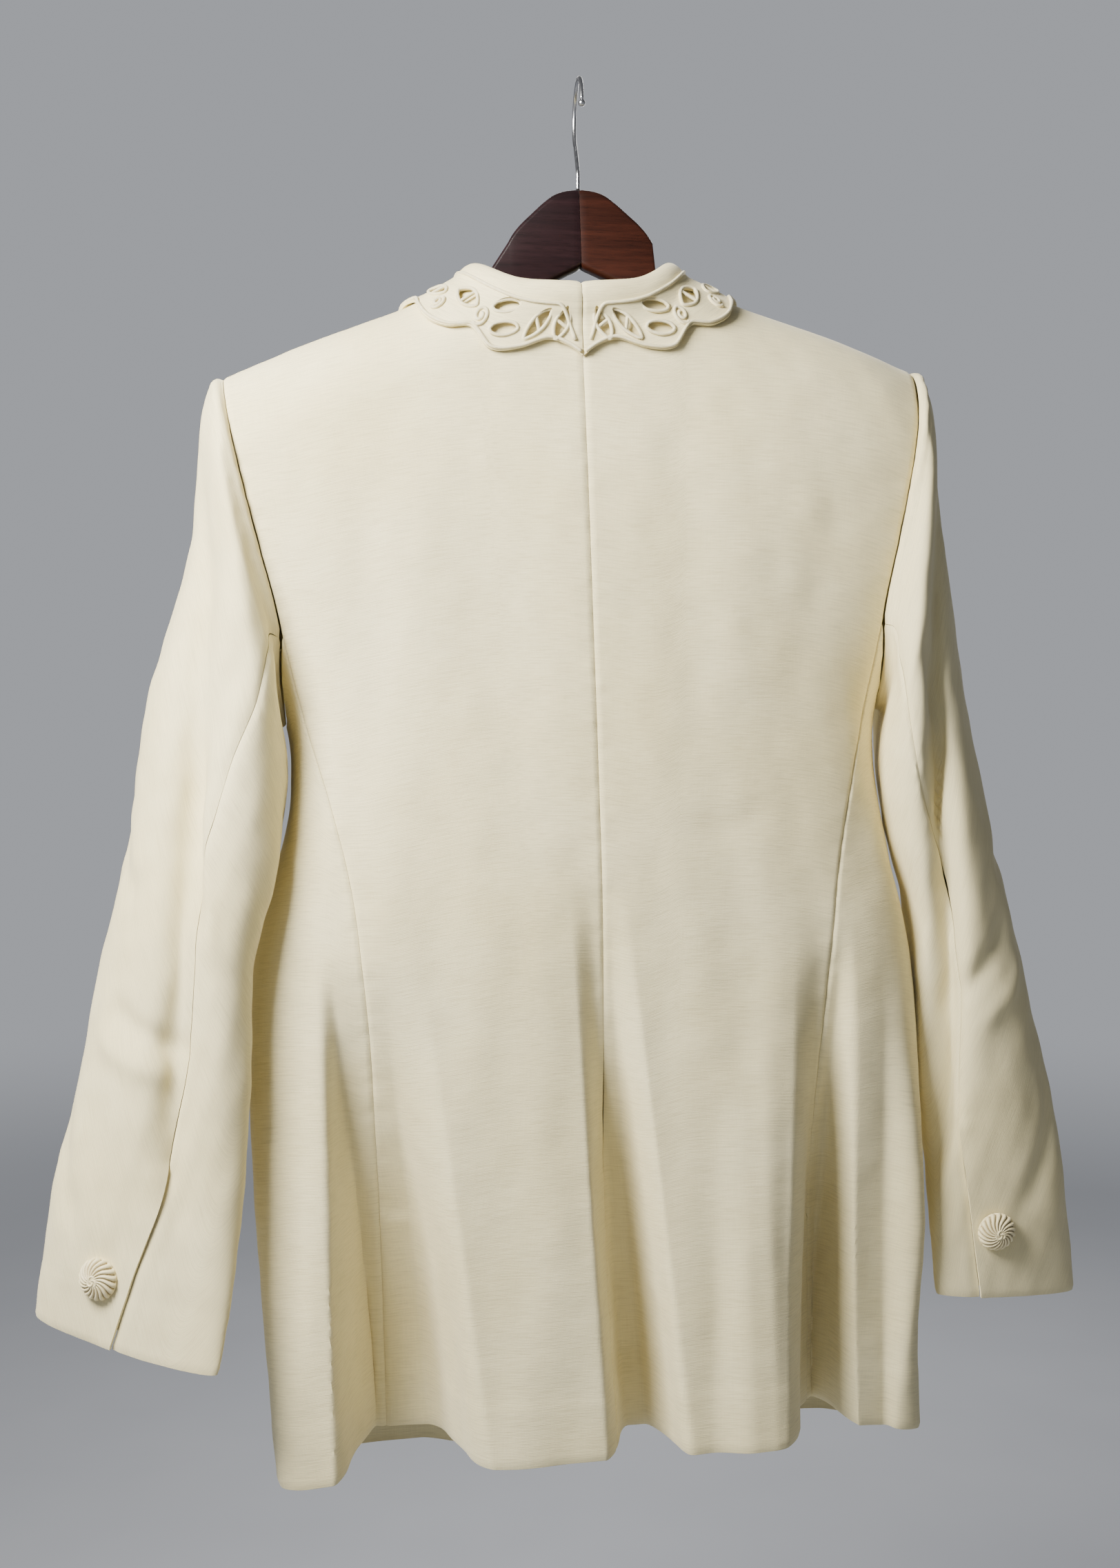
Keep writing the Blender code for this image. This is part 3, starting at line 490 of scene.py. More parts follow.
def side_ring(side, z, share):
    """Signed ring angle at a share of a side panel's width, measured along the cloth."""
    start = ring_angle(side, panel_seam(side, -1, z) + SEAM_GAP / 2, z)
    end = 180 - ring_angle(side, panel_seam(side, 1, z) + SEAM_GAP / 2, z)
    steps = np.linspace(0.0, 1.0, 61)
    angles = start[..., None] + (end - start)[..., None] * steps
    points = ring_body(side * angles, z[..., None])
    reach = np.cumsum(length_of(np.diff(points, axis=-2)), axis=-1)
    reach = np.concatenate([np.zeros_like(reach[..., :1]), reach], axis=-1)
    wanted = np.clip(share, 0.0, 1.0) * reach[..., -1]
    low = np.clip((reach < wanted[..., None]).sum(-1) - 1, 0, len(steps) - 2)[..., None]
    before, after = (np.take_along_axis(reach, low + i, -1)[..., 0] for i in (0, 1))
    low_angle, high_angle = (np.take_along_axis(angles, low + i, -1)[..., 0] for i in (0, 1))
    return side * (low_angle + (high_angle - low_angle) * (wanted - before) / (after - before))


def armhole(angle):
    """Points of the right armhole: angle 0 at the shoulder, 90 at the back, 180 under the arm."""
    angle = np.asarray(angle, float) % 360
    z = ARMHOLE_MID_Z + ARMHOLE_HALF * np.cos(np.radians(angle))
    face = np.where(angle <= 180, -1, 1)
    x = blend(ARMHOLE_EDGE, z)
    upper = flat_body(x, face * over_at(x, z))
    share = (angle - ARMHOLE_JOIN) / (360 - 2 * ARMHOLE_JOIN)
    lower_z = np.minimum(z, ARMHOLE_JOIN_Z)
    lower = ring_body(side_ring(1, lower_z, share), lower_z)
    return np.where((z >= ARMHOLE_JOIN_Z)[..., None], upper, lower)


def hem_height(share):
    """Height of the hem at a share of the way from centre back to centre front."""
    return HEM_Z - FRONT_HEM_DROP * ease((share - 0.3) / 0.4)


def neckline(angle):
    """Neckline in the shoulder's flat coordinates: angle 0 at the centre back, 180 in front."""
    reach = np.where(angle < 90, NECK_BACK, NECK_FRONT)
    return NECK_HALF * np.sin(np.radians(angle)), -reach * np.cos(np.radians(angle))


def panel_outer(share, side, face):
    """Outer edge of a back (-1) or front (1) panel: from the hem up its seam, then up the armhole."""
    hem = hem_height(0 if face < 0 else 1)
    seam_z = hem + (ARMHOLE_JOIN_Z - hem) * np.minimum(share / SEAM_SHARE, 1.0)
    seam_x = panel_seam(side, face, seam_z) - SEAM_GAP / 2
    turn = ARMHOLE_JOIN * (1 - np.maximum(share - SEAM_SHARE, 0.0) / (1 - SEAM_SHARE))
    hole_z = ARMHOLE_MID_Z + ARMHOLE_HALF * np.cos(np.radians(turn))
    below = share < SEAM_SHARE
    x = np.where(below, seam_x, blend(ARMHOLE_EDGE, hole_z))
    z = np.where(below, seam_z, hole_z)
    return x, face * np.maximum(over_at(x, z), SEAM_GAP / 2)


def panel_top(share, face, edge_x):
    """Top edge of a panel: along the neckline from its centre edge, then out along the shoulder seam."""
    neck = NECK_SHARE_BACK if face < 0 else NECK_SHARE_FRONT
    first = math.degrees(math.asin(edge_x / NECK_HALF))
    angle = first + (90 - first) * np.minimum(share / neck, 1.0)
    neck_x, neck_over = neckline(angle if face < 0 else 180 - angle)
    seam_x = NECK_HALF + (SHOULDER_TIP_X - NECK_HALF) * np.maximum(share - neck, 0.0) / (1 - neck)
    in_neck = share < neck
    over = np.where(in_neck, np.maximum(np.abs(neck_over), SEAM_GAP / 2), SEAM_GAP / 2)
    return np.where(in_neck, neck_x, seam_x), face * over


def panel_place(side, face, across, up, edge_x):
    """Places on a back or front panel in the flat coordinates, from shares across and up it."""
    hem = hem_height(0 if face < 0 else 1)
    zero, one = np.zeros_like(across), np.ones_like(across)
    low_outer, high_outer = panel_outer(zero, side, face), panel_top(one, face, edge_x)
    bottom_x = edge_x + (low_outer[0] - edge_x) * across
    bottom = (bottom_x, face * over_at(bottom_x, hem))
    top = panel_top(across, face, edge_x)
    low_inner = (edge_x + zero, face * over_at(edge_x + zero, hem))
    high_inner = panel_top(zero, face, edge_x)
    outer = panel_outer(up, side, face)
    place = []
    for axis in (0, 1):
        inner = low_inner[axis] + (high_inner[axis] - low_inner[axis]) * up
        ruled = (1 - up) * bottom[axis] + up * top[axis] + (1 - across) * inner + across * outer[axis]
        corners = (
            (1 - up) * ((1 - across) * low_inner[axis] + across * low_outer[axis])
            + up * ((1 - across) * high_inner[axis] + across * high_outer[axis])
        )
        place.append(ruled - corners)
    return place


def back_panel(side):
    def surface(across, up):
        x, over = panel_place(side, -1, across, up, SEAM_GAP / 2)
        return flat_body(side * x, over)
    return surface


def front_panel(side):
    """The right front laps over the left one at the centre, so the left one steps in there."""
    centre = -FRONT_LAP if side > 0 else -UNDER_LAP

    def surface(across, up):
        x, over = panel_place(side, 1, across, up, centre)
        point = flat_body(side * x, over)
        if side < 0:
            point[..., 1] -= FRONT_STEP * ease((FRONT_LAP + 2 - x) / STEP_SPREAD + 1)
        return point
    return surface


def side_panel(side):
    def surface(across, up):
        angle = ARMHOLE_JOIN + (360 - 2 * ARMHOLE_JOIN) * across
        top = ARMHOLE_MID_Z + ARMHOLE_HALF * np.cos(np.radians(angle))
        hem = hem_height(0.25 + 0.5 * across)
        z = hem + (top - hem) * up
        return ring_body(side_ring(side, z, across), z)
    return surface


def sleeve_seam(side, along):
    return blend(SLEEVE_SEAMS, along, 1 if side < 0 else 2), blend(SLEEVE_SEAMS, along, 3)


def sleeve_centre(side, along):
    return stack(*(blend(STATIONS[side], along, column) for column in (1, 2, 3)))


def sleeve_oval(side, along, angle):
    up = stack(*(blend(STATIONS[side], along, column) for column in (4, 5, 6)))
    back = stack(*(blend(STATIONS[side], along, column) for column in (7, 8, 9)))
    turn = np.radians(angle)[..., None]
    return sleeve_centre(side, along) + np.cos(turn) * up + np.sin(turn) * back


def sleeve_fold(side, along, angle):
    """How far the sleeve's lengthwise folds push in."""
    total = 0.0
    for row_side, top, cuff, spread, depth, start, end in SLEEVE_FOLDS:
        if row_side == side:
            centre = top + (cuff - top) * along
            apart = (angle - centre + 180) % 360 - 180
            fade = ease((along - start) / 0.18) * ease((end - along) / 0.16)
            total = total + depth * fade * np.exp(-((apart / spread) ** 2))
    return total


def sleeve_point(side, along, angle):
    """Points of a sleeve: it starts on the armhole and takes its oval sections by a quarter of its length."""
    along, angle = np.broadcast_arrays(np.asarray(along, float), np.asarray(angle, float))
    oval = sleeve_oval(side, along, angle)
    fit = 1 - ease(along / SLEEVE_FIT)
    first = sleeve_oval(side, np.zeros_like(along), angle)
    oval = oval + (armhole(angle) - first) * fit[..., None]
    oval = oval + unit(sleeve_centre(side, along) - oval) * sleeve_fold(side, along, angle)[..., None]
    return oval * np.array([side, 1, 1])


def sleeve_angles(side, part, across, down):
    """Share of the length and angle of places on the top or under part of a sleeve."""
    along = SLEEVE_START + (1 - SLEEVE_START) * down
    back, front = sleeve_seam(side, along)
    if part == "top":
        low, high = front - 360 + SLEEVE_SEAM_TURN, back - SLEEVE_SEAM_TURN
    else:
        low, high = back + SLEEVE_SEAM_TURN, front - SLEEVE_SEAM_TURN
    return along, low + (high - low) * across


def sleeve_panel(side, part):
    def surface(across, down):
        return sleeve_point(side, *sleeve_angles(side, part, across, down))
    return surface


def collar_edge(angle):
    """Outer edge of the collar in the flat coordinates, with its scallops and the point at the back."""
    reach = np.where(angle < 90, COLLAR_BACK, COLLAR_FRONT)
    more = blend(COLLAR_SCALLOPS, angle) + COLLAR_POINT * np.maximum(1 - angle / 12, 0) ** 1.6
    turn = np.radians(angle)
    return (COLLAR_SIDE_X + more) * np.sin(turn), -(reach + more) * np.cos(turn)


def over_body(x, over, height):
    """Points at a height over the body's cloth."""
    step = 0.5
    across = flat_body(x + step, over) - flat_body(x - step, over)
    along = flat_body(x, over + step) - flat_body(x, over - step)
    return flat_body(x, over) + unit(np.cross(across, along)) * np.asarray(height)[..., None]


def collar_height(angle, distance):
    """Height of the collar over the body, at distances out from the neckline."""
    height = np.where(distance < COLLAR_SECTION[-1][0], blend(COLLAR_SECTION, distance), COLLAR_LIFT)
    height = height * (1 - ROLL_DROP * np.sin(np.radians(np.minimum(angle, 90.0))) ** 2)
    return np.where(distance > 0, np.maximum(height, COLLAR_LIFT), height)


def collar_place(angle, distance):
    """Flat coordinates of places on the collar, at distances out from the neckline, and its width there."""
    inner_x, inner_over = neckline(angle)
    edge_x, edge_over = collar_edge(angle)
    width = np.hypot(edge_x - inner_x, edge_over - inner_over)
    share = distance / width
    return inner_x + (edge_x - inner_x) * share, inner_over + (edge_over - inner_over) * share, width


def collar_half(side):
    def surface(around, out):
        angle = COLLAR_START + (COLLAR_END - COLLAR_START) * around
        first = COLLAR_SECTION[0][0]
        width = collar_place(angle, 0 * angle)[2]
        distance = first + (width - first) * out**1.1
        x, over, _ = collar_place(angle, distance)
        return over_body(side * np.maximum(x, SEAM_GAP / 2), over, collar_height(angle, distance))
    return surface


def hung(points):
    """World places, in metres, of points of the jacket's own frame in millimetres."""
    turn = math.radians(HANG_TIP)
    x = points[..., 0] + HANG_SLIP
    z = points[..., 2] - WOOD_TOP_Z
    return stack(
        x * math.cos(turn) - z * math.sin(turn),
        points[..., 1],
        x * math.sin(turn) + z * math.cos(turn) + WOOD_TOP_Z,
    ) * MM


def soft_waves(points, seed, size, stretch):
    """Uneven soft swell of cloth, from -1 to 1 or so: waves of about one size, longer along z by stretch."""
    random = np.random.default_rng(seed)
    total = 0.0
    count = 16
    for _ in range(count):
        heading = random.normal(size=3) * np.array([1, 1, 1 / stretch])
        heading = heading / np.linalg.norm(heading)
        length = size * random.uniform(0.6, 1.7)
        phase = random.uniform(0, 2 * math.pi)
        total = total + np.sin(2 * math.pi * (points @ heading) / length + phase)
    return total / math.sqrt(count)


def crease(across, along, ends, half, depth):
    """Trough along the straight line between two places, fading towards its ends."""
    x0, z0, x1, z1 = ends
    run = np.array([x1 - x0, z1 - z0], float)
    size = np.hypot(*run)
    share = ((across - x0) * run[0] + (along - z0) * run[1]) / size**2
    apart = ((across - x0) * run[1] - (along - z0) * run[0]) / size
    bend = 0.35 * half * np.sin(share * 5 + x0)
    fade = np.exp(-((np.abs(share - 0.5) / 0.42) ** 4))
    return depth * fade * np.exp(-(((apart + bend) / half) ** 2))


def body_swell(points):
    """Swell of the body's cloth: soft waves that grow towards the hem, and its creases."""
    x, y, z = points[..., 0], points[..., 1], points[..., 2]
    grow = 0.45 + 0.9 * ease((-z - 300) / 450)
    long_waves, short_waves = (height * soft_waves(points, *waves) for height, *waves in BODY_WAVES)
    swell = grow * long_waves + short_waves
    for face, x0, z0, x1, z1, half, depth in BODY_CREASES:
        swell = swell - crease(x, z, (x0, z0, x1, z1), half, depth) * (np.sign(y) == face)
    return swell * ease((-z - 115) / 120)


def sleeve_swell(side, along, angle, points):
    """Swell of a sleeve's cloth: soft waves, and its creases, which cross its seams."""
    shifted = points + side * 500
    swell = sum(height * soft_waves(shifted, *waves) for height, *waves in SLEEVE_WAVES)
    for row_side, a0, t0, a1, t1, half, depth in SLEEVE_CREASES:
        if row_side == side:
            end = (t1 - t0 + 180) % 360 - 180
            turned = (angle - t0 - end / 2 + 180) % 360 - 180 + end / 2
            ends = (0, a0 * SLEEVE_REACH, end, a1 * SLEEVE_REACH)
            swell = swell - CREASE_GAIN * crease(turned, along * SLEEVE_REACH, ends, half, depth)
    return swell * ease(along / 0.12) * (0.5 + 0.5 * ease((1.0 - along) / 0.1))


def spread_columns(surface, rows, columns):
    """Shares of a fine grid whose columns are evenly spaced along the cloth in each row."""
    first = np.linspace(0, 1, 4 * columns + 1)
    up = np.linspace(0, 1, rows + 1)
    points = surface(*np.meshgrid(first, up))
    reach = np.cumsum(length_of(np.diff(points, axis=1)), axis=1)
    reach = np.concatenate([np.zeros((rows + 1, 1)), reach], axis=1)
    wanted = np.linspace(0, 1, columns + 1)
    across = np.array([np.interp(wanted * line[-1], line, first) for line in reach])
    return across, np.repeat(up[:, None], columns + 1, axis=1)


def reaches(points):
    """Distances along the cloth from a grid's left, right, bottom and top edges."""
    over = np.cumsum(length_of(np.diff(points, axis=1)), axis=1)
    over = np.concatenate([np.zeros((len(points), 1)), over], axis=1)
    up = np.cumsum(length_of(np.diff(points, axis=0)), axis=0)
    up = np.concatenate([np.zeros((1, points.shape[1])), up], axis=0)
    return over, over[:, -1:] - over, up, up[-1:] - up


def seam_groove(distance, along, seed, depth=1.0):
    """Cloth drawn in at a seam, with small uneven puckers beside it."""
    random = np.random.default_rng(seed)
    pucker = 0.0
    for length in (11.0, 17.0, 29.0):
        pucker = pucker + np.sin(2 * math.pi * along / length + random.uniform(0, 6.28))
    beside = np.exp(-((distance / 7.0) ** 2)) * (1 - np.exp(-((distance / 1.6) ** 2)))
    return -depth * np.exp(-((distance / 1.1) ** 2)) + 0.16 * pucker * beside


def grid_normals(points, outward):
    across = np.gradient(points, axis=1)
    along = np.gradient(points, axis=0)
    return unit(np.cross(across, along)) * outward


def new_object(name, mesh):
    made = bpy.data.objects.new(name, mesh)
    bpy.context.scene.collection.objects.link(made)
    return made


def grid_mesh(name, points, flat, outward):
    """Mesh of a grid of world points, with its flat places in metres as the UV map."""
    rows, columns = points.shape[:2]
    index = np.arange(rows * columns).reshape(rows, columns)
    quads = np.stack([index[:-1, :-1], index[:-1, 1:], index[1:, 1:], index[1:, :-1]], axis=-1).reshape(-1, 4)
    if outward < 0:
        quads = quads[:, ::-1]
    mesh = bpy.data.meshes.new(name)
    mesh.from_pydata(points.reshape(-1, 3).tolist(), [], quads.tolist())
    layer = mesh.uv_layers.new(name="flat")
    layer.data.foreach_set("uv", flat.reshape(-1, 2)[quads.ravel()].astype(np.float32).ravel())
    return mesh


def apply_modifiers(piece):
    bpy.ops.object.select_all(action="DESELECT")
    piece.select_set(True)
    bpy.context.view_layer.objects.active = piece
    for modifier in list(piece.modifiers):
        bpy.ops.object.modifier_apply(modifier=modifier.name)
    piece.select_set(False)


def shade(piece, degrees):
    piece.data.shade_smooth()
    piece.data.set_sharp_from_angle(angle=math.radians(degrees))


def thicken(piece, thickness):
    """Gives a sheet its thickness, behind the face that shows."""
    wall = piece.modifiers.new("thickness", "SOLIDIFY")
    wall.thickness = thickness * MM
    wall.offset = -1.0
    wall.use_even_offset = False
    apply_modifiers(piece)


def finish_piece(piece, node, look):
    piece.data.materials.clear()
    piece.data.materials.append(look)
    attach(piece, BODY)
    if node:
        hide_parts(node)


def cloth_piece(node, surface, size, outward, relief, look):
    """A sewn piece of cloth: a fine grid on its surface, raised and creased, and given its thickness."""
    columns, rows = size
    across, up = spread_columns(surface, rows, columns)
    smooth = surface(across, up)
    over, over_end, rise, rise_end = reaches(smooth)
    normals = grid_normals(smooth, outward)
    raised = smooth + normals * relief(smooth, across, up, over, over_end, rise, rise_end)[..., None]
    flat = np.stack([over - over[:, -1:] / 2, rise], axis=-1) * MM
    name = f"cloth_{node}"
    piece = new_object(name, grid_mesh(name, hung(raised), flat, outward))
    thicken(piece, CLOTH)
    shade(piece, 50)
    finish_piece(piece, node, look)
    return piece


def rounded_edge(distance):
    """A free edge of cloth, turned in a little."""
    return -EDGE_TURN * np.exp(-((distance / EDGE_SPREAD) ** 2))


def pressed_hem(distance, depth, height):
    """A turned-up hem, pressed flat: a slight step where the turned-up cloth ends."""
    return height * ease((depth - distance) / HEM_STEP) + rounded_edge(distance)


def body_relief(face, seed):
    """Relief of a back or front panel: seams at its sides and top, a pressed hem at the bottom."""
    def relief(points, across, up, over, over_end, rise, rise_end):
        raised = body_swell(points)
        centre_seam = seam_groove(over, rise, seed) if face < 0 else rounded_edge(over)
        outer_seam = seam_groove(over_end, rise, seed + 1)
        top_seam = seam_groove(rise_end, over, seed + 2, 0.8)
        return raised + centre_seam + outer_seam + top_seam + pressed_hem(rise, HEM_DEPTH, HEM_HEIGHT)
    return relief


def side_relief(seed):
    def relief(points, across, up, over, over_end, rise, rise_end):
        seams = seam_groove(over, rise, seed) + seam_groove(over_end, rise, seed + 1)
        hem = pressed_hem(rise, HEM_DEPTH, HEM_HEIGHT)
        return body_swell(points) + seams + seam_groove(rise_end, over, seed + 2) + hem
    return relief


def sleeve_relief(side, part, seed):
    """Relief of a sleeve part: seams, a roped head at the armhole, and the vent above the cuff."""
    def relief(points, across, up, over, over_end, rise, rise_end):
        along, angle = sleeve_angles(side, part, across, up)
        raised = sleeve_swell(side, along, angle, points)
        to_back, to_front = (over_end, over) if part == "top" else (over, over_end)
        vent = ease((along - VENT_START) / 0.012)
        lap = 1.1 * np.exp(-((to_back / 9.0) ** 2)) if part == "top" else -1.2 * np.exp(-((to_back / 5.0) ** 2))
        raised = raised + seam_groove(to_back, rise, seed) * (1 - vent) + lap * vent
        raised = raised + seam_groove(to_front, rise, seed + 1)
        head = ease(0.6 + np.cos(np.radians(angle)))
        rope = ROPE_HEIGHT * np.exp(-(((rise - 4.6) / 3.4) ** 2)) * head
        ease_waves = 0.45 * np.sin(over / 2.9 + np.sin(over / 9.0)) * np.exp(-(((rise - 9) / 9.0) ** 2)) * head
        cuff = pressed_hem(rise_end, CUFF_DEPTH, CUFF_HEIGHT)
        return raised + rope + ease_waves + cuff + seam_groove(rise, over, seed + 2, 0.5)
    return relief


def leaf_outline(x, over, slant, length, width, bluntness, points=10):
    """Closed outline of one cutwork opening, a leaf whose two ends are a millimetre wide."""
    turn = math.radians(slant)
    outline = []
    for edge in (1, -1):
        shares = [i / points for i in range(points + 1)]
        for share in shares if edge > 0 else reversed(shares):
            along = (share - 0.5) * length
            swell = max(math.sin(math.pi * share), 0.0) ** bluntness
            out = edge * (0.5 + (width / 2 - 0.5) * swell)
            outline.append((
                x + along * math.cos(turn) - out * math.sin(turn),
                over + along * math.sin(turn) + out * math.cos(turn),
            ))
    return np.array(outline)


def cutwork_plugs(side):
    """One closed plug for each cutwork opening of a collar half, all in one object."""
    bm = bmesh.new()
    for row in CUTWORK:
        outline = leaf_outline(*row)
        rings = []
        for height in (-1.6, 14.0):
            places = hung(over_body(side * outline[:, 0], outline[:, 1], np.full(len(outline), height)))
            rings.append([bm.verts.new(place) for place in places])
        low, high = rings
        for i in range(len(outline)):
            after = (i + 1) % len(outline)
            bm.faces.new([low[i], low[after], high[after], high[i]])
        bm.faces.new(list(reversed(low)))
        bm.faces.new(high)
    bmesh.ops.recalc_face_normals(bm, faces=bm.faces)
    mesh = bpy.data.meshes.new("plugs")
    bm.to_mesh(mesh)
    bm.free()
    return new_object("plugs", mesh)


def collar_relief(seed):
    def relief(points, across, up, over, over_end, rise, rise_end):
        roll = 0.7 * np.sin(over / 13.0 + 1.2 * np.sin(over / 31.0)) * np.exp(-(((rise - 9) / 8.0) ** 2))
        lie = 0.35 * soft_waves(points, seed, 30, 1.0) * ease((rise - 12) / 12)
        return roll + lie + seam_groove(over, rise, seed + 1, 0.7)
    return relief


def tube_mesh(name, paths, radius, sides=8):
    """Round cord along each path of world points, in metres, with the length along it in the UV map."""
    verts, faces, flats = [], [], []
    for path, closed in paths:
        path = np.asarray(path, float)
        count = len(path)
        if closed:
            ahead = np.roll(path, -1, axis=0) - np.roll(path, 1, axis=0)
        else:
            ahead = np.gradient(path, axis=0)
        ahead = unit(ahead)
        aside = np.zeros_like(path)
        first = np.cross(ahead[0], (0.0, 0.0, 1.0))
        if np.linalg.norm(first) < 0.1:
            first = np.cross(ahead[0], (0.0, 1.0, 0.0))
        aside[0] = first / np.linalg.norm(first)
        for i in range(1, count):
            turned = aside[i - 1] - ahead[i] * np.dot(aside[i - 1], ahead[i])
            aside[i] = turned / np.linalg.norm(turned)
        out = np.cross(ahead, aside)
        reach = np.concatenate([[0.0], np.cumsum(length_of(np.diff(path, axis=0)))])
        base = len(verts)
        for i in range(count):
            for k in range(sides):
                turn = 2 * math.pi * k / sides
                verts.append(path[i] + radius * (math.cos(turn) * aside[i] + math.sin(turn) * out[i]))
        spans = count if closed else count - 1
        for i in range(spans):
            j = (i + 1) % count
            shift = 0
            if closed and j == 0:
                ends = [np.dot(aside[-1], math.cos(2 * math.pi * k / sides) * aside[0]
                               + math.sin(2 * math.pi * k / sides) * out[0]) for k in range(sides)]
                shift = int(np.argmax(ends))
            for k in range(sides):
                n = (k + 1) % sides
                faces.append([base + i * sides + k, base + i * sides + n,
                              base + j * sides + (n + shift) % sides, base + j * sides + (k + shift) % sides])
                end = reach[j] if j else reach[-1] + 0.001
                flats += [(k / sides, reach[i]), ((k + 1) / sides, reach[i]),
                          ((k + 1) / sides, end), (k / sides, end)]
        if not closed:
            faces.append([base + k for k in reversed(range(sides))])
            faces.append([base + (count - 1) * sides + k for k in range(sides)])
            flats += [(0.0, 0.0)] * (2 * sides)
    mesh = bpy.data.meshes.new(name)
    mesh.from_pydata([tuple(v) for v in verts], [], faces)
    layer = mesh.uv_layers.new(name="flat")
    layer.data.foreach_set("uv", np.array(flats, np.float32).ravel())
    bm = bmesh.new()
    bm.from_mesh(mesh)
    bmesh.ops.recalc_face_normals(bm, faces=bm.faces)
    bm.to_mesh(mesh)
    bm.free()
    mesh.shade_smooth()
    return mesh


def collar_cords(side):
    """Lines of cord on a collar half: its edge, each opening's edge and bar, a line under the roll and curls."""
    lines = []
    on_top = COLLAR_LIFT + CORD_LIFT
    angle = np.linspace(COLLAR_START + 0.5, COLLAR_END - 0.3, 300)
    width = collar_place(angle, 0 * angle)[2]
    x, over, _ = collar_place(angle, width - EDGE_CORD_INSET)
    lines.append((over_body(side * x, over, np.full_like(x, on_top)), False))
    for row in CUTWORK:
        outline = leaf_outline(*row, points=12)
        lines.append((over_body(side * outline[:, 0], outline[:, 1], np.full(len(outline), on_top)), True))
        across, over_mid, slant, _, wide, _ = row
        if wide > WIDE_OPENING:
            turn = math.radians(slant + 90 + BAR_SLANT)
            reach = np.linspace(-wide / 2, wide / 2, 8)
            x, over = across + reach * math.cos(turn), over_mid + reach * math.sin(turn)
            lines.append((over_body(side * x, over, np.full_like(x, on_top - 0.4)), False))
    angle = np.linspace(106, 2.4, 160)
    width = collar_place(angle, 0 * angle)[2]
    sweep = ease((ROLL_LINE_TURN - angle) / ROLL_LINE_TURN) ** 2
    distance = ROLL_LINE + (width - EDGE_CORD_INSET - ROLL_LINE) * sweep
    x, over, _ = collar_place(angle, distance)
    lines.append((over_body(side * x, over, collar_height(angle, distance) + CORD_LIFT), False))
    for across, over_mid, size in CURLS:
        turn = np.linspace(0, 3.2 * math.pi, 52)
        radius = size * (1 - 0.8 * turn / turn[-1])
        x = across + radius * np.cos(turn + 0.4)
        over = over_mid - radius * np.sin(turn + 0.4)
        lines.append((over_body(side * x, over, np.full_like(x, on_top)), False))
    return lines


def rounded_section(half, high, corner, count=5):
    """Outline of a rectangle with round corners: y, z."""
    outline = []
    for start, (sy, sz) in zip((0, 90, 180, 270), ((1, 1), (-1, 1), (-1, -1), (1, -1))):
        for i in range(count + 1):
            turn = math.radians(start + 90 * i / count)
            outline.append((sy * (half - corner) + corner * math.cos(turn),
                            sz * (high - corner) + corner * math.sin(turn)))
    return outline


def wood_top(x):
    """Top edge of the wood: a dome under the hook, then the shoulder line under the cloth."""
    near_neck = ease((NECK_HALF - abs(x)) / NECK_CLEAR_SPREAD + 1)
    shoulder = blend(SHOULDER_LINE, abs(x)) - CLOTH - WOOD_CLEAR - 0.3 - NECK_CLEAR * near_neck
    dome = WOOD_TOP_Z - float(blend(WOOD_DOME, abs(x + HANG_SLIP)))
    return max(dome, shoulder) if abs(x) < WOOD_NECK - 0.5 else shoulder


def wood_bottom(x):
    """Under edge: a shallow notch in the middle, then a taper towards the tip."""
    out = abs(x + HANG_SLIP)
    notch = WOOD_NOTCH_Z - WOOD_NOTCH_SLOPE * out
    taper = wood_top(x) - WOOD_DEPTH + WOOD_TAPER * out / WOOD_TIP_X
    if out < WOOD_NOTCH_HALF:
        return notch
    return min(max(notch, taper), wood_top(x) - WOOD_LEAST_DEPTH)


def hanger_half(side, look):
    """Half of the wooden hanger: rounded sections along the arm."""
    start = -HANG_SLIP + side * 0.12
    domed = [start + side * WOOD_DOME_HALF * math.sin(math.radians(3 * i)) for i in range(27)]
    neck_edge = side * WOOD_NECK
    arm = 40
    xs = domed + [neck_edge + (side * WOOD_TIP_X - neck_edge) * i / arm for i in range(arm + 1)]
    rings = []
    for number, x in enumerate(xs):
        top, bottom = wood_top(x), wood_bottom(x)
        end = ease((WOOD_TIP_X + 1 - abs(x)) / 8)
        joint = 0.35 if number == 0 else 0.0
        half = WOOD_THICK / 2 * (0.6 + 0.4 * end) - joint
        high = (top - bottom) / 2 * (0.75 + 0.25 * end) - joint
        section = rounded_section(half, high, min(4.2, half - 0.5))
        rings.append([(x, y, (top + bottom) / 2 + z) for y, z in section])
    rings = hung(np.array(rings))
    count = rings.shape[1]
    bm = bmesh.new()
    verts = [[bm.verts.new(place) for place in ring] for ring in rings]
    for one, two in zip(verts, verts[1:]):
        for i in range(count):
            bm.faces.new([one[i], one[(i + 1) % count], two[(i + 1) % count], two[i]])
    bm.faces.new(verts[0])
    bm.faces.new(list(reversed(verts[-1])))
    bmesh.ops.recalc_face_normals(bm, faces=bm.faces)
    mesh = bpy.data.meshes.new("wood")
    bm.to_mesh(mesh)
    bm.free()
    piece = new_object(f"wood_{WORDS[side]}", mesh)
    shade(piece, 60)
    finish_piece(piece, f"hanger_{WORDS[side]}", look)


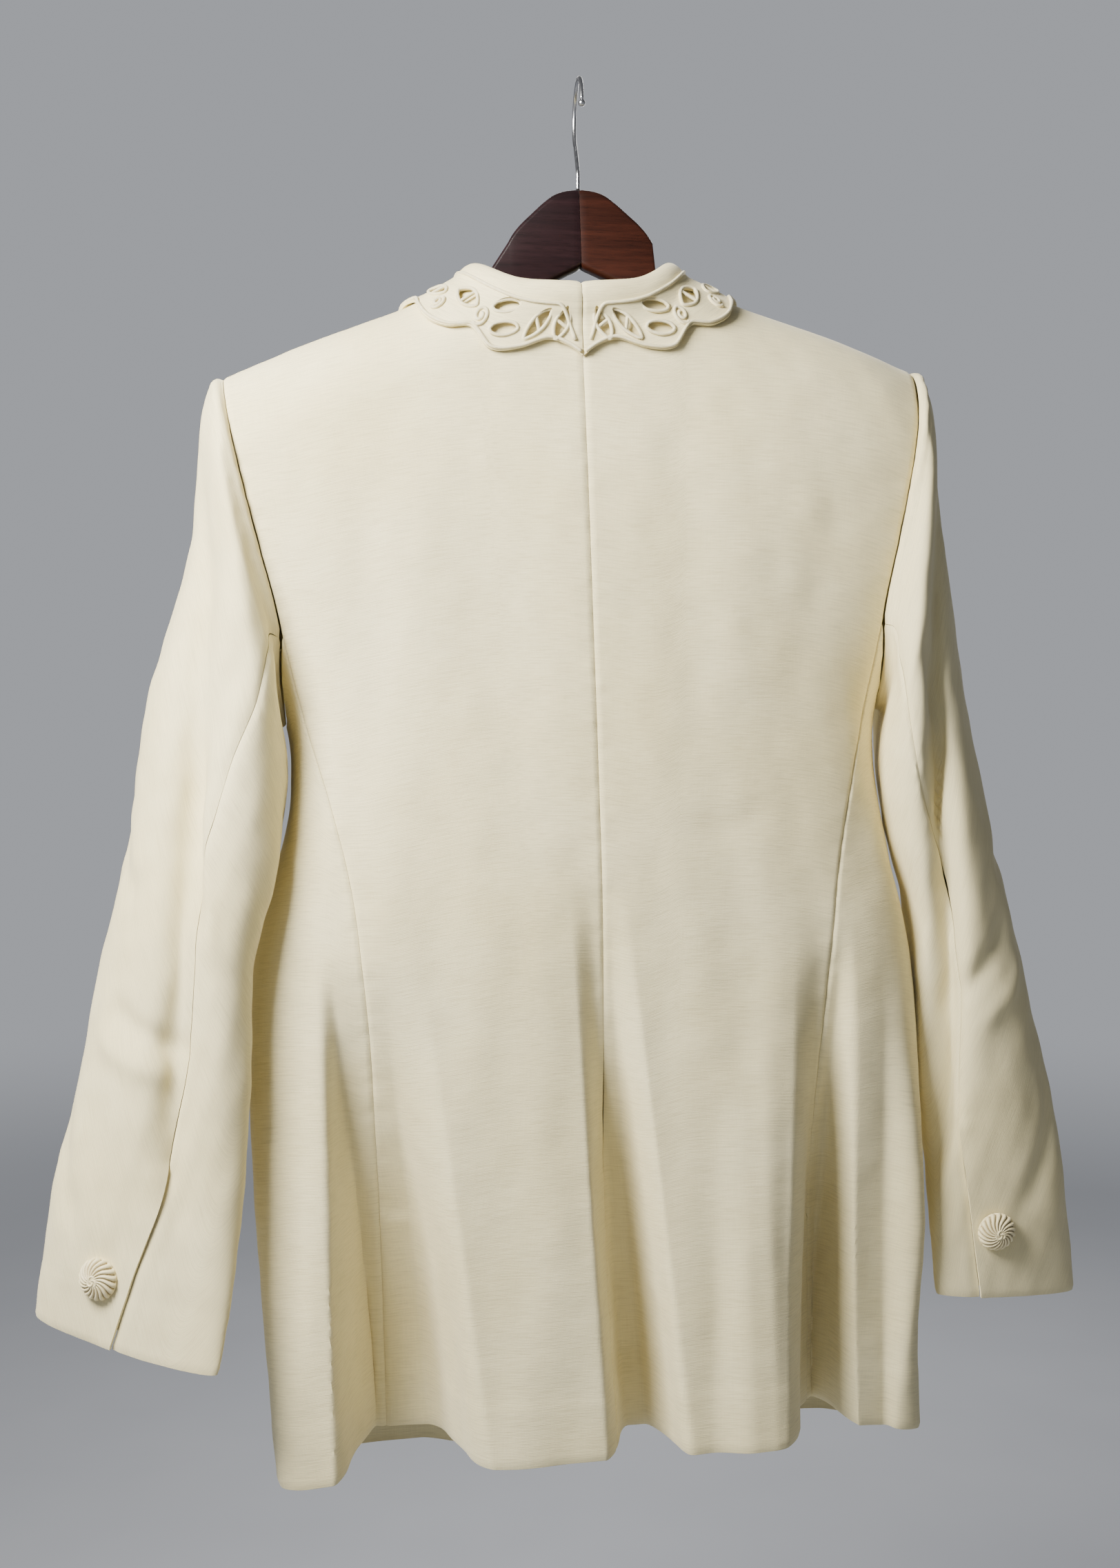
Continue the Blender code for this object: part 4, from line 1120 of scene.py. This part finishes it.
def hook_and_ball(look):
    """Steel wire: up from the wood, behind the rod, over it and down in front, ending in a small ball."""
    crown_z = HOOK_WIRE - HOOK_RADIUS
    turns = np.radians(np.linspace(-50, 178, 60))
    loop = np.stack([HOOK_RADIUS * np.cos(turns), crown_z + HOOK_RADIUS * np.sin(turns)], axis=-1)
    foot = WOOD_TOP_Z + 0.4
    knee = crown_z - HOOK_RADIUS - HOOK_SHANK
    rise = foot + (knee - foot) * np.arange(7) / 8
    stem = np.stack([0 * rise, rise], axis=-1)
    share = np.linspace(0, 1, 13)[:, None]
    bend = (np.array([0.0, knee - 2]) * (1 - share) ** 2
            + 2 * share * (1 - share) * np.array([6.5, knee + 9]) + loop[0] * share**2)
    line = np.concatenate([stem, bend, loop[1:]])
    path = stack(0.0, line[:, 0], line[:, 1]) * MM
    wire = new_object("hook_wire", tube_mesh("hook_wire", [(path, False)], HOOK_WIRE * MM, 16))
    finish_piece(wire, "hook", look)
    end = path[-1]
    bpy.ops.mesh.primitive_uv_sphere_add(segments=32, ring_count=18, radius=HOOK_BALL * MM,
                                         location=(end[0], end[1], end[2] - HOOK_BALL * MM))
    ball = bpy.context.object
    ball.name = "hook_tip_ball"
    bpy.ops.object.transform_apply(location=True, rotation=True, scale=True)
    shade(ball, 60)
    finish_piece(ball, "hook_ball", look)


def turban_button(name, node, point, normal, look):
    """Domed button wound with cord: a ball pressed to a dome, with slanting ridges and a woven knot on top."""
    bpy.ops.object.select_all(action="DESELECT")
    bpy.ops.mesh.primitive_uv_sphere_add(segments=10 * BUTTON_STRANDS, ring_count=36, radius=MM)
    button = bpy.context.object
    button.name = name
    places = np.zeros(len(button.data.vertices) * 3)
    button.data.vertices.foreach_get("co", places)
    places = places.reshape(-1, 3) / MM
    turn = np.arctan2(places[:, 1], places[:, 0])
    tilt = np.arccos(np.clip(places[:, 2], -1, 1)) / math.pi
    rim = BUTTON_DOME[-2][0]
    domed = tilt < DOME_SHARE
    radius = np.where(domed, rim * np.sin(np.clip(tilt / DOME_SHARE, 0, 1) * math.pi / 2),
                      rim * (1 - (tilt - DOME_SHARE) / (1 - DOME_SHARE)))
    height = np.where(domed, blend(BUTTON_DOME[:-1], radius), 0.0)
    ridge = np.abs(np.sin(BUTTON_STRANDS / 2 * (turn + RIDGE_SLANT * radius)))
    raised = RIDGE_HEIGHT * (ridge**0.6 - 0.8) * ease((radius - 2.2) / 2.5) * domed
    outward = radius + raised * np.clip(radius / rim, 0, 1) ** 2 * 0.8
    domed_height = np.maximum(height + raised * 0.7, 0.0)
    placed = np.stack([np.cos(turn) * outward, np.sin(turn) * outward, domed_height], -1)
    standing = normal.to_track_quat("Z", "X").to_matrix().to_4x4()
    standing.translation = point
    button.data.vertices.foreach_set("co", (placed * MM).ravel())
    button.data.transform(standing)
    shade(button, 70)
    lace = np.linspace(0, 2 * math.pi, 90, endpoint=False)
    knot_reach = KNOT_RADIUS + KNOT_SWING * np.cos(3 * lace)
    knot = np.stack([
        knot_reach * np.cos(2 * lace),
        knot_reach * np.sin(2 * lace),
        BUTTON_HEIGHT - 0.75 + 0.35 * np.sin(3 * lace),
    ], -1)
    turned = np.array([standing @ Vector(place) for place in knot * MM])
    woven = new_object(name + "_knot", tube_mesh(name + "_knot", [(turned, True)], KNOT_CORD * MM))
    bpy.ops.object.select_all(action="DESELECT")
    woven.select_set(True)
    button.select_set(True)
    bpy.context.view_layer.objects.active = button
    bpy.ops.object.join()
    finish_piece(button, node, look)


def cuff_button_place(side):
    along = CUFF_BUTTON_ALONG
    angle = float(sleeve_seam(side, along)[0]) - CUFF_BUTTON_TURN
    point = sleeve_point(side, along, angle)
    across = sleeve_point(side, along, angle + 0.5) - sleeve_point(side, along, angle - 0.5)
    down = sleeve_point(side, along + 0.002, angle) - sleeve_point(side, along - 0.002, angle)
    normal = unit(np.cross(across, down))
    return point, normal if normal[1] < 0 else -normal


def front_button_place(number):
    z = FRONT_BUTTON_TOP_Z - FRONT_BUTTON_PITCH * number
    over = over_at(0.0, z)
    point = over_body(0.0, over, 0.3)
    return point, unit(over_body(0.0, over, 1.3) - point)


class Look:
    """A material being made: its nodes, joined one after another."""

    def __init__(self, name, roughness, metallic=0.0):
        self.material = bpy.data.materials.new(name)
        self.material.use_nodes = True
        self.nodes = self.material.node_tree.nodes
        self.links = self.material.node_tree.links
        self.shader = self.nodes["Principled BSDF"]
        self.shader.inputs["Roughness"].default_value = roughness
        self.shader.inputs["Metallic"].default_value = metallic

    def add(self, kind, **values):
        node = self.nodes.new(kind)
        for name, value in values.items():
            if name in node.inputs:
                node.inputs[name].default_value = value
            else:
                setattr(node, name, value)
        return node

    def join(self, out, into):
        self.links.new(out, into)

    def coordinates(self, kind, scale):
        """Object or flat coordinates, scaled each way."""
        source = self.add("ShaderNodeTexCoord")
        mapping = self.add("ShaderNodeMapping")
        mapping.inputs["Scale"].default_value = scale
        self.join(source.outputs[kind], mapping.inputs["Vector"])
        return mapping.outputs["Vector"]

    def noise(self, vector, scale, detail=4.0, roughness=0.55, distortion=0.0):
        node = self.add(
            "ShaderNodeTexNoise", Scale=scale, Detail=detail, Roughness=roughness, Distortion=distortion
        )
        self.join(vector, node.inputs["Vector"])
        return node.outputs["Fac"]

    def ramp(self, factor, stops):
        node = self.add("ShaderNodeValToRGB")
        while len(node.color_ramp.elements) < len(stops):
            node.color_ramp.elements.new(0.5)
        for element, (place, colour) in zip(node.color_ramp.elements, stops):
            element.position = place
            element.color = (*colour, 1.0)
        self.join(factor, node.inputs["Fac"])
        return node.outputs["Color"]

    def mix(self, first, second, factor, blend_type="MIX"):
        node = self.add("ShaderNodeMix", data_type="RGBA", blend_type=blend_type)
        for source, into in ((factor, node.inputs[0]), (first, node.inputs[6]), (second, node.inputs[7])):
            if hasattr(source, "links"):
                self.join(source, into)
            elif isinstance(source, tuple):
                into.default_value = (*source, 1.0)
            else:
                into.default_value = source
        return node.outputs[2]

    def math(self, operation, first, second=0.0):
        node = self.add("ShaderNodeMath", operation=operation)
        for source, into in ((first, node.inputs[0]), (second, node.inputs[1])):
            if hasattr(source, "links"):
                self.join(source, into)
            else:
                into.default_value = source
        return node.outputs[0]

    def bump(self, height, distance, strength=1.0, below=None):
        node = self.add("ShaderNodeBump", Distance=distance, Strength=strength)
        self.join(height, node.inputs["Height"])
        if below is not None:
            self.join(below, node.inputs["Normal"])
        return node.outputs["Normal"]


def wave(look, vector, scale, direction, distortion):
    node = look.add("ShaderNodeTexWave", Scale=scale, Distortion=distortion, bands_direction=direction)
    node.inputs["Detail"].default_value = 1.0
    look.join(vector, node.inputs["Vector"])
    return node.outputs["Fac"]


def cream_cloth():
    """Plain-woven wool and linen: crossed threads, long thin slubs across, faint clouding, a soft sheen."""
    look = Look("cream_wool_linen", 0.86)
    flat = look.coordinates("UV", (1.0, 1.0, 1.0))
    place = look.coordinates("Object", (1.0, 1.0, 1.0))
    cloud = look.noise(place, 9.0, 3.0)
    slub = look.noise(look.coordinates("UV", (60.0, 1100.0, 1.0)), 1.0, 3.0, 0.6)
    warp = look.noise(look.coordinates("UV", (1300.0, 40.0, 1.0)), 1.0, 2.0, 0.6)
    colour = look.ramp(cloud, [(0.3, (0.80, 0.70, 0.395)), (0.7, (0.86, 0.77, 0.475))])
    streak = look.ramp(slub, [(0.32, (0.86, 0.85, 0.83)), (0.52, (1.0, 1.0, 1.0)), (0.74, (1.06, 1.06, 1.07))])
    colour = look.mix(colour, streak, 0.85, "MULTIPLY")
    fine = look.ramp(warp, [(0.3, (0.94, 0.935, 0.92)), (0.6, (1.0, 1.0, 1.0))])
    colour = look.mix(colour, fine, 0.6, "MULTIPLY")
    look.join(colour, look.shader.inputs["Base Color"])
    weft_thread = wave(look, flat, 330.0, "Y", 0.35)
    warp_thread = wave(look, flat, 360.0, "X", 0.35)
    weave = look.math("ADD", look.math("MULTIPLY", weft_thread, 0.6), look.math("MULTIPLY", warp_thread, 0.4))
    threads = look.bump(weave, 0.00012, 0.35)
    streaks = look.bump(slub, 0.00022, 0.55, threads)
    soft = look.noise(place, 55.0, 4.0, 0.6)
    look.join(look.bump(soft, 0.0009, 0.35, streaks), look.shader.inputs["Normal"])
    rough = look.add("ShaderNodeMapRange")
    rough.inputs["To Min"].default_value = 0.78
    rough.inputs["To Max"].default_value = 0.92
    look.join(slub, rough.inputs["Value"])
    look.join(rough.outputs["Result"], look.shader.inputs["Roughness"])
    look.shader.inputs["Sheen Weight"].default_value = 0.25
    look.shader.inputs["Sheen Roughness"].default_value = 0.45
    look.shader.inputs["Sheen Tint"].default_value = (1.0, 0.97, 0.90, 1.0)
    look.shader.inputs["Specular IOR Level"].default_value = 0.28
    return look.material


def cream_cord():
    """Satin cord: fine strands that run slantwise round it."""
    look = Look("cream_satin_cord", 0.48)
    twist = look.coordinates("UV", (6.0, 2200.0, 1.0))
    strands = look.add("ShaderNodeTexWave", Scale=1.0, Distortion=0.4, bands_direction="DIAGONAL")
    look.join(twist, strands.inputs["Vector"])
    tone = look.noise(look.coordinates("Object", (1.0, 1.0, 1.0)), 260.0, 2.0)
    colour = look.ramp(tone, [(0.3, (0.80, 0.695, 0.40)), (0.7, (0.88, 0.795, 0.52))])
    shadow = look.ramp(strands.outputs["Fac"], [(0.0, (0.86, 0.84, 0.80)), (0.5, (1.0, 1.0, 1.0))])
    look.join(look.mix(colour, shadow, 0.7, "MULTIPLY"), look.shader.inputs["Base Color"])
    look.join(look.bump(strands.outputs["Fac"], 0.00012, 0.6), look.shader.inputs["Normal"])
    look.shader.inputs["Sheen Weight"].default_value = 0.3
    return look.material


def button_cord():
    """Wound cord of the buttons: silky, with painted shade that darkens it between the strands, where the cord
    sinks in.
    """
    look = Look("button_cord", 0.45)
    place = look.coordinates("Object", (1.0, 1.0, 1.0))
    tone = look.noise(place, 420.0, 3.0)
    fibre = look.noise(place, 2600.0, 2.0)
    # Painted shade: the cord's colour goes dark where its surface sinks in between the strands (low pointiness).
    hollow_shade = look.add("ShaderNodeNewGeometry")
    colour = look.ramp(hollow_shade.outputs["Pointiness"], [(0.42, (0.30, 0.21, 0.085)), (0.53, (0.88, 0.77, 0.46))])
    tint = look.ramp(tone, [(0.3, (0.90, 0.88, 0.84)), (0.7, (1.0, 1.0, 1.0))])
    look.join(look.mix(colour, tint, 0.8, "MULTIPLY"), look.shader.inputs["Base Color"])
    look.join(look.bump(fibre, 0.00015, 0.5), look.shader.inputs["Normal"])
    look.shader.inputs["Sheen Weight"].default_value = 0.2
    return look.material


def dark_wood(name, tone):
    """Varnished dark hardwood: long grain along the arm, fine pores, a satin coat."""
    look = Look(name, 0.34)
    along = look.coordinates("Object", (4.0, 60.0, 60.0))
    grain = look.noise(along, 2.2, 6.0, 0.62, 0.6)
    pores = look.noise(look.coordinates("Object", (60.0, 900.0, 900.0)), 1.4, 3.0, 0.6)
    rings = look.add("ShaderNodeTexWave", Scale=1.1, Distortion=5.0, bands_direction="Z")
    rings.inputs["Detail"].default_value = 3.0
    look.join(along, rings.inputs["Vector"])
    light, dark = tone
    colour = look.ramp(grain, [(0.25, dark), (0.55, light), (0.8, tuple(min(c * 1.5, 1.0) for c in light))])
    figure = look.ramp(rings.outputs["Fac"], [(0.2, (0.72, 0.66, 0.64)), (0.7, (1.0, 1.0, 1.0))])
    colour = look.mix(colour, figure, 0.35, "MULTIPLY")
    specks = look.ramp(pores, [(0.34, (0.45, 0.40, 0.38)), (0.46, (1.0, 1.0, 1.0))])
    look.join(look.mix(colour, specks, 0.6, "MULTIPLY"), look.shader.inputs["Base Color"])
    look.join(look.bump(pores, 0.0002, 0.25), look.shader.inputs["Normal"])
    look.shader.inputs["Coat Weight"].default_value = 0.1
    look.shader.inputs["Coat Roughness"].default_value = 0.22
    look.shader.inputs["Specular IOR Level"].default_value = 0.3
    return look.material


def satin_steel():
    look = Look("satin_steel", 0.26, 1.0)
    place = look.coordinates("Object", (1.0, 1.0, 1.0))
    tone = look.noise(place, 300.0, 3.0)
    look.join(look.ramp(tone, [(0.3, (0.52, 0.52, 0.54)), (0.7, (0.68, 0.68, 0.69))]),
              look.shader.inputs["Base Color"])
    look.join(look.bump(look.noise(place, 4000.0, 2.0), 0.00004, 0.3), look.shader.inputs["Normal"])
    return look.material


def sew_jacket(cloth, cord):
    """All cloth pieces, each over its own solid, then the cords on the collar."""
    for side, word in WORDS.items():
        pieces = [
            ("back", back_panel(side), side, body_relief(-1, 30 + side)),
            ("side", side_panel(side), side, side_relief(40 + side)),
            ("front", front_panel(side), -side, body_relief(1, 50 + side)),
            ("sleeve_top", sleeve_panel(side, "top"), side, sleeve_relief(side, "top", 60 + side)),
            ("sleeve_under", sleeve_panel(side, "under"), side, sleeve_relief(side, "under", 70 + side)),
            ("collar", collar_half(side), -side, collar_relief(80 + side)),
        ]
        made = {
            kind: cloth_piece(f"{kind}_{word}", surface, GRIDS[kind], outward, relief, cloth)
            for kind, surface, outward, relief in pieces
        }
        collar = made["collar"]
        plugs = cutwork_plugs(side)
        cut = collar.modifiers.new("cutwork", "BOOLEAN")
        cut.operation = "DIFFERENCE"
        cut.solver = "EXACT"
        cut.object = plugs
        apply_modifiers(collar)
        bpy.data.objects.remove(plugs, do_unlink=True)
        shade(collar, 50)
        paths = [(hung(line), closed) for line, closed in collar_cords(side)]
        lines = new_object(f"collar_cord_{word}", tube_mesh(f"collar_cord_{word}", paths, CORD_RADIUS * MM))
        finish_piece(lines, None, cord)


def set_buttons(look):
    """Buttons at the cuffs and down the front, each over its own solid."""
    places = [(f"cuff_button_{word}", cuff_button_place(side)) for side, word in WORDS.items()]
    places += [(f"front_button_{n + 1}", front_button_place(n)) for n in range(FRONT_BUTTONS)]
    for node, (point, normal) in places:
        root = hung(point + normal * 0.3)
        tip = hung(point + normal * 1.3)
        turban_button(f"wound_{node}", node, Vector(root), Vector(unit(tip - root)), look)


def pale_floor():
    """Pale floor that fades into the backdrop far away, so that no line shows behind the jacket."""
    look = Look("pale_floor", 0.9)
    place = look.coordinates("Object", (1.0, 1.0, 1.0))
    far = look.add("ShaderNodeVectorMath", operation="LENGTH")
    look.join(place, far.inputs[0])
    away = look.add("ShaderNodeMapRange", interpolation_type="SMOOTHSTEP")
    away.inputs["From Min"].default_value = 1.2
    away.inputs["From Max"].default_value = 7.0
    look.join(far.outputs["Value"], away.inputs["Value"])
    speck = look.noise(place, 3.0, 2.0)
    near = look.ramp(speck, [(0.3, (0.58, 0.60, 0.65)), (0.7, (0.61, 0.63, 0.68))])
    glow = tuple(BACKDROP_LIGHT * part for part in BACKDROP)
    look.join(look.mix(near, (0.0, 0.0, 0.0), away.outputs["Result"]), look.shader.inputs["Base Color"])
    look.join(look.mix((0.0, 0.0, 0.0), glow, away.outputs["Result"]), look.shader.inputs["Emission Color"])
    look.shader.inputs["Emission Strength"].default_value = 1.0
    look.shader.inputs["Specular IOR Level"].default_value = 0.0
    return look.material


def studio():
    """Plain pale floor, soft light and the camera."""
    bpy.ops.object.select_all(action="DESELECT")
    bpy.ops.mesh.primitive_circle_add(vertices=96, radius=14.0, fill_type="NGON", location=(0, 0, FLOOR_Z))
    floor = bpy.context.object
    floor.name = "floor"
    floor.data.materials.append(pale_floor())

    world = bpy.data.worlds.new("studio")
    world.use_nodes = True
    nodes, links = world.node_tree.nodes, world.node_tree.links
    seen = nodes.new("ShaderNodeLightPath")
    strength = nodes.new("ShaderNodeMapRange")
    strength.inputs["To Min"].default_value = FILL_LIGHT
    strength.inputs["To Max"].default_value = BACKDROP_LIGHT
    links.new(seen.outputs["Is Camera Ray"], strength.inputs["Value"])
    links.new(strength.outputs["Result"], nodes["Background"].inputs["Strength"])
    nodes["Background"].inputs["Color"].default_value = (*BACKDROP, 1.0)
    bpy.context.scene.world = world

    for name, place, size, power, colour in LIGHTS:
        data = bpy.data.lights.new(name, "AREA")
        data.size = size
        data.energy = power
        data.color = colour
        lamp = bpy.data.objects.new(name, data)
        lamp.location = place
        lamp.visible_camera = False
        lamp.rotation_euler = (Vector(LIT_PLACE) - Vector(place)).to_track_quat("-Z", "Y").to_euler()
        bpy.context.scene.collection.objects.link(lamp)

    data = bpy.data.cameras.new("camera")
    data.sensor_width = SENSOR
    data.lens = SENSOR * FOCAL_PIXELS / PHOTO_HEIGHT
    camera = bpy.data.objects.new("camera", data)
    camera.location = CAMERA_PLACE
    camera.rotation_euler = (math.radians(90), 0, math.radians(-CAMERA_TURN))
    bpy.context.scene.collection.objects.link(camera)
    bpy.context.scene.camera = camera


studio()
sew_jacket(cream_cloth(), cream_cord())
set_buttons(button_cord())
# Each half gets its own copy of the wood: painted shade darkens the left half, painted light brightens and
# reddens the right half.
for half in WOOD_LIT_AND_SHADED_TONES:
    hanger_half(half, dark_wood(f"dark_wood_{WORDS[half]}", WOOD_LIT_AND_SHADED_TONES[half]))
hook_and_ball(satin_steel())
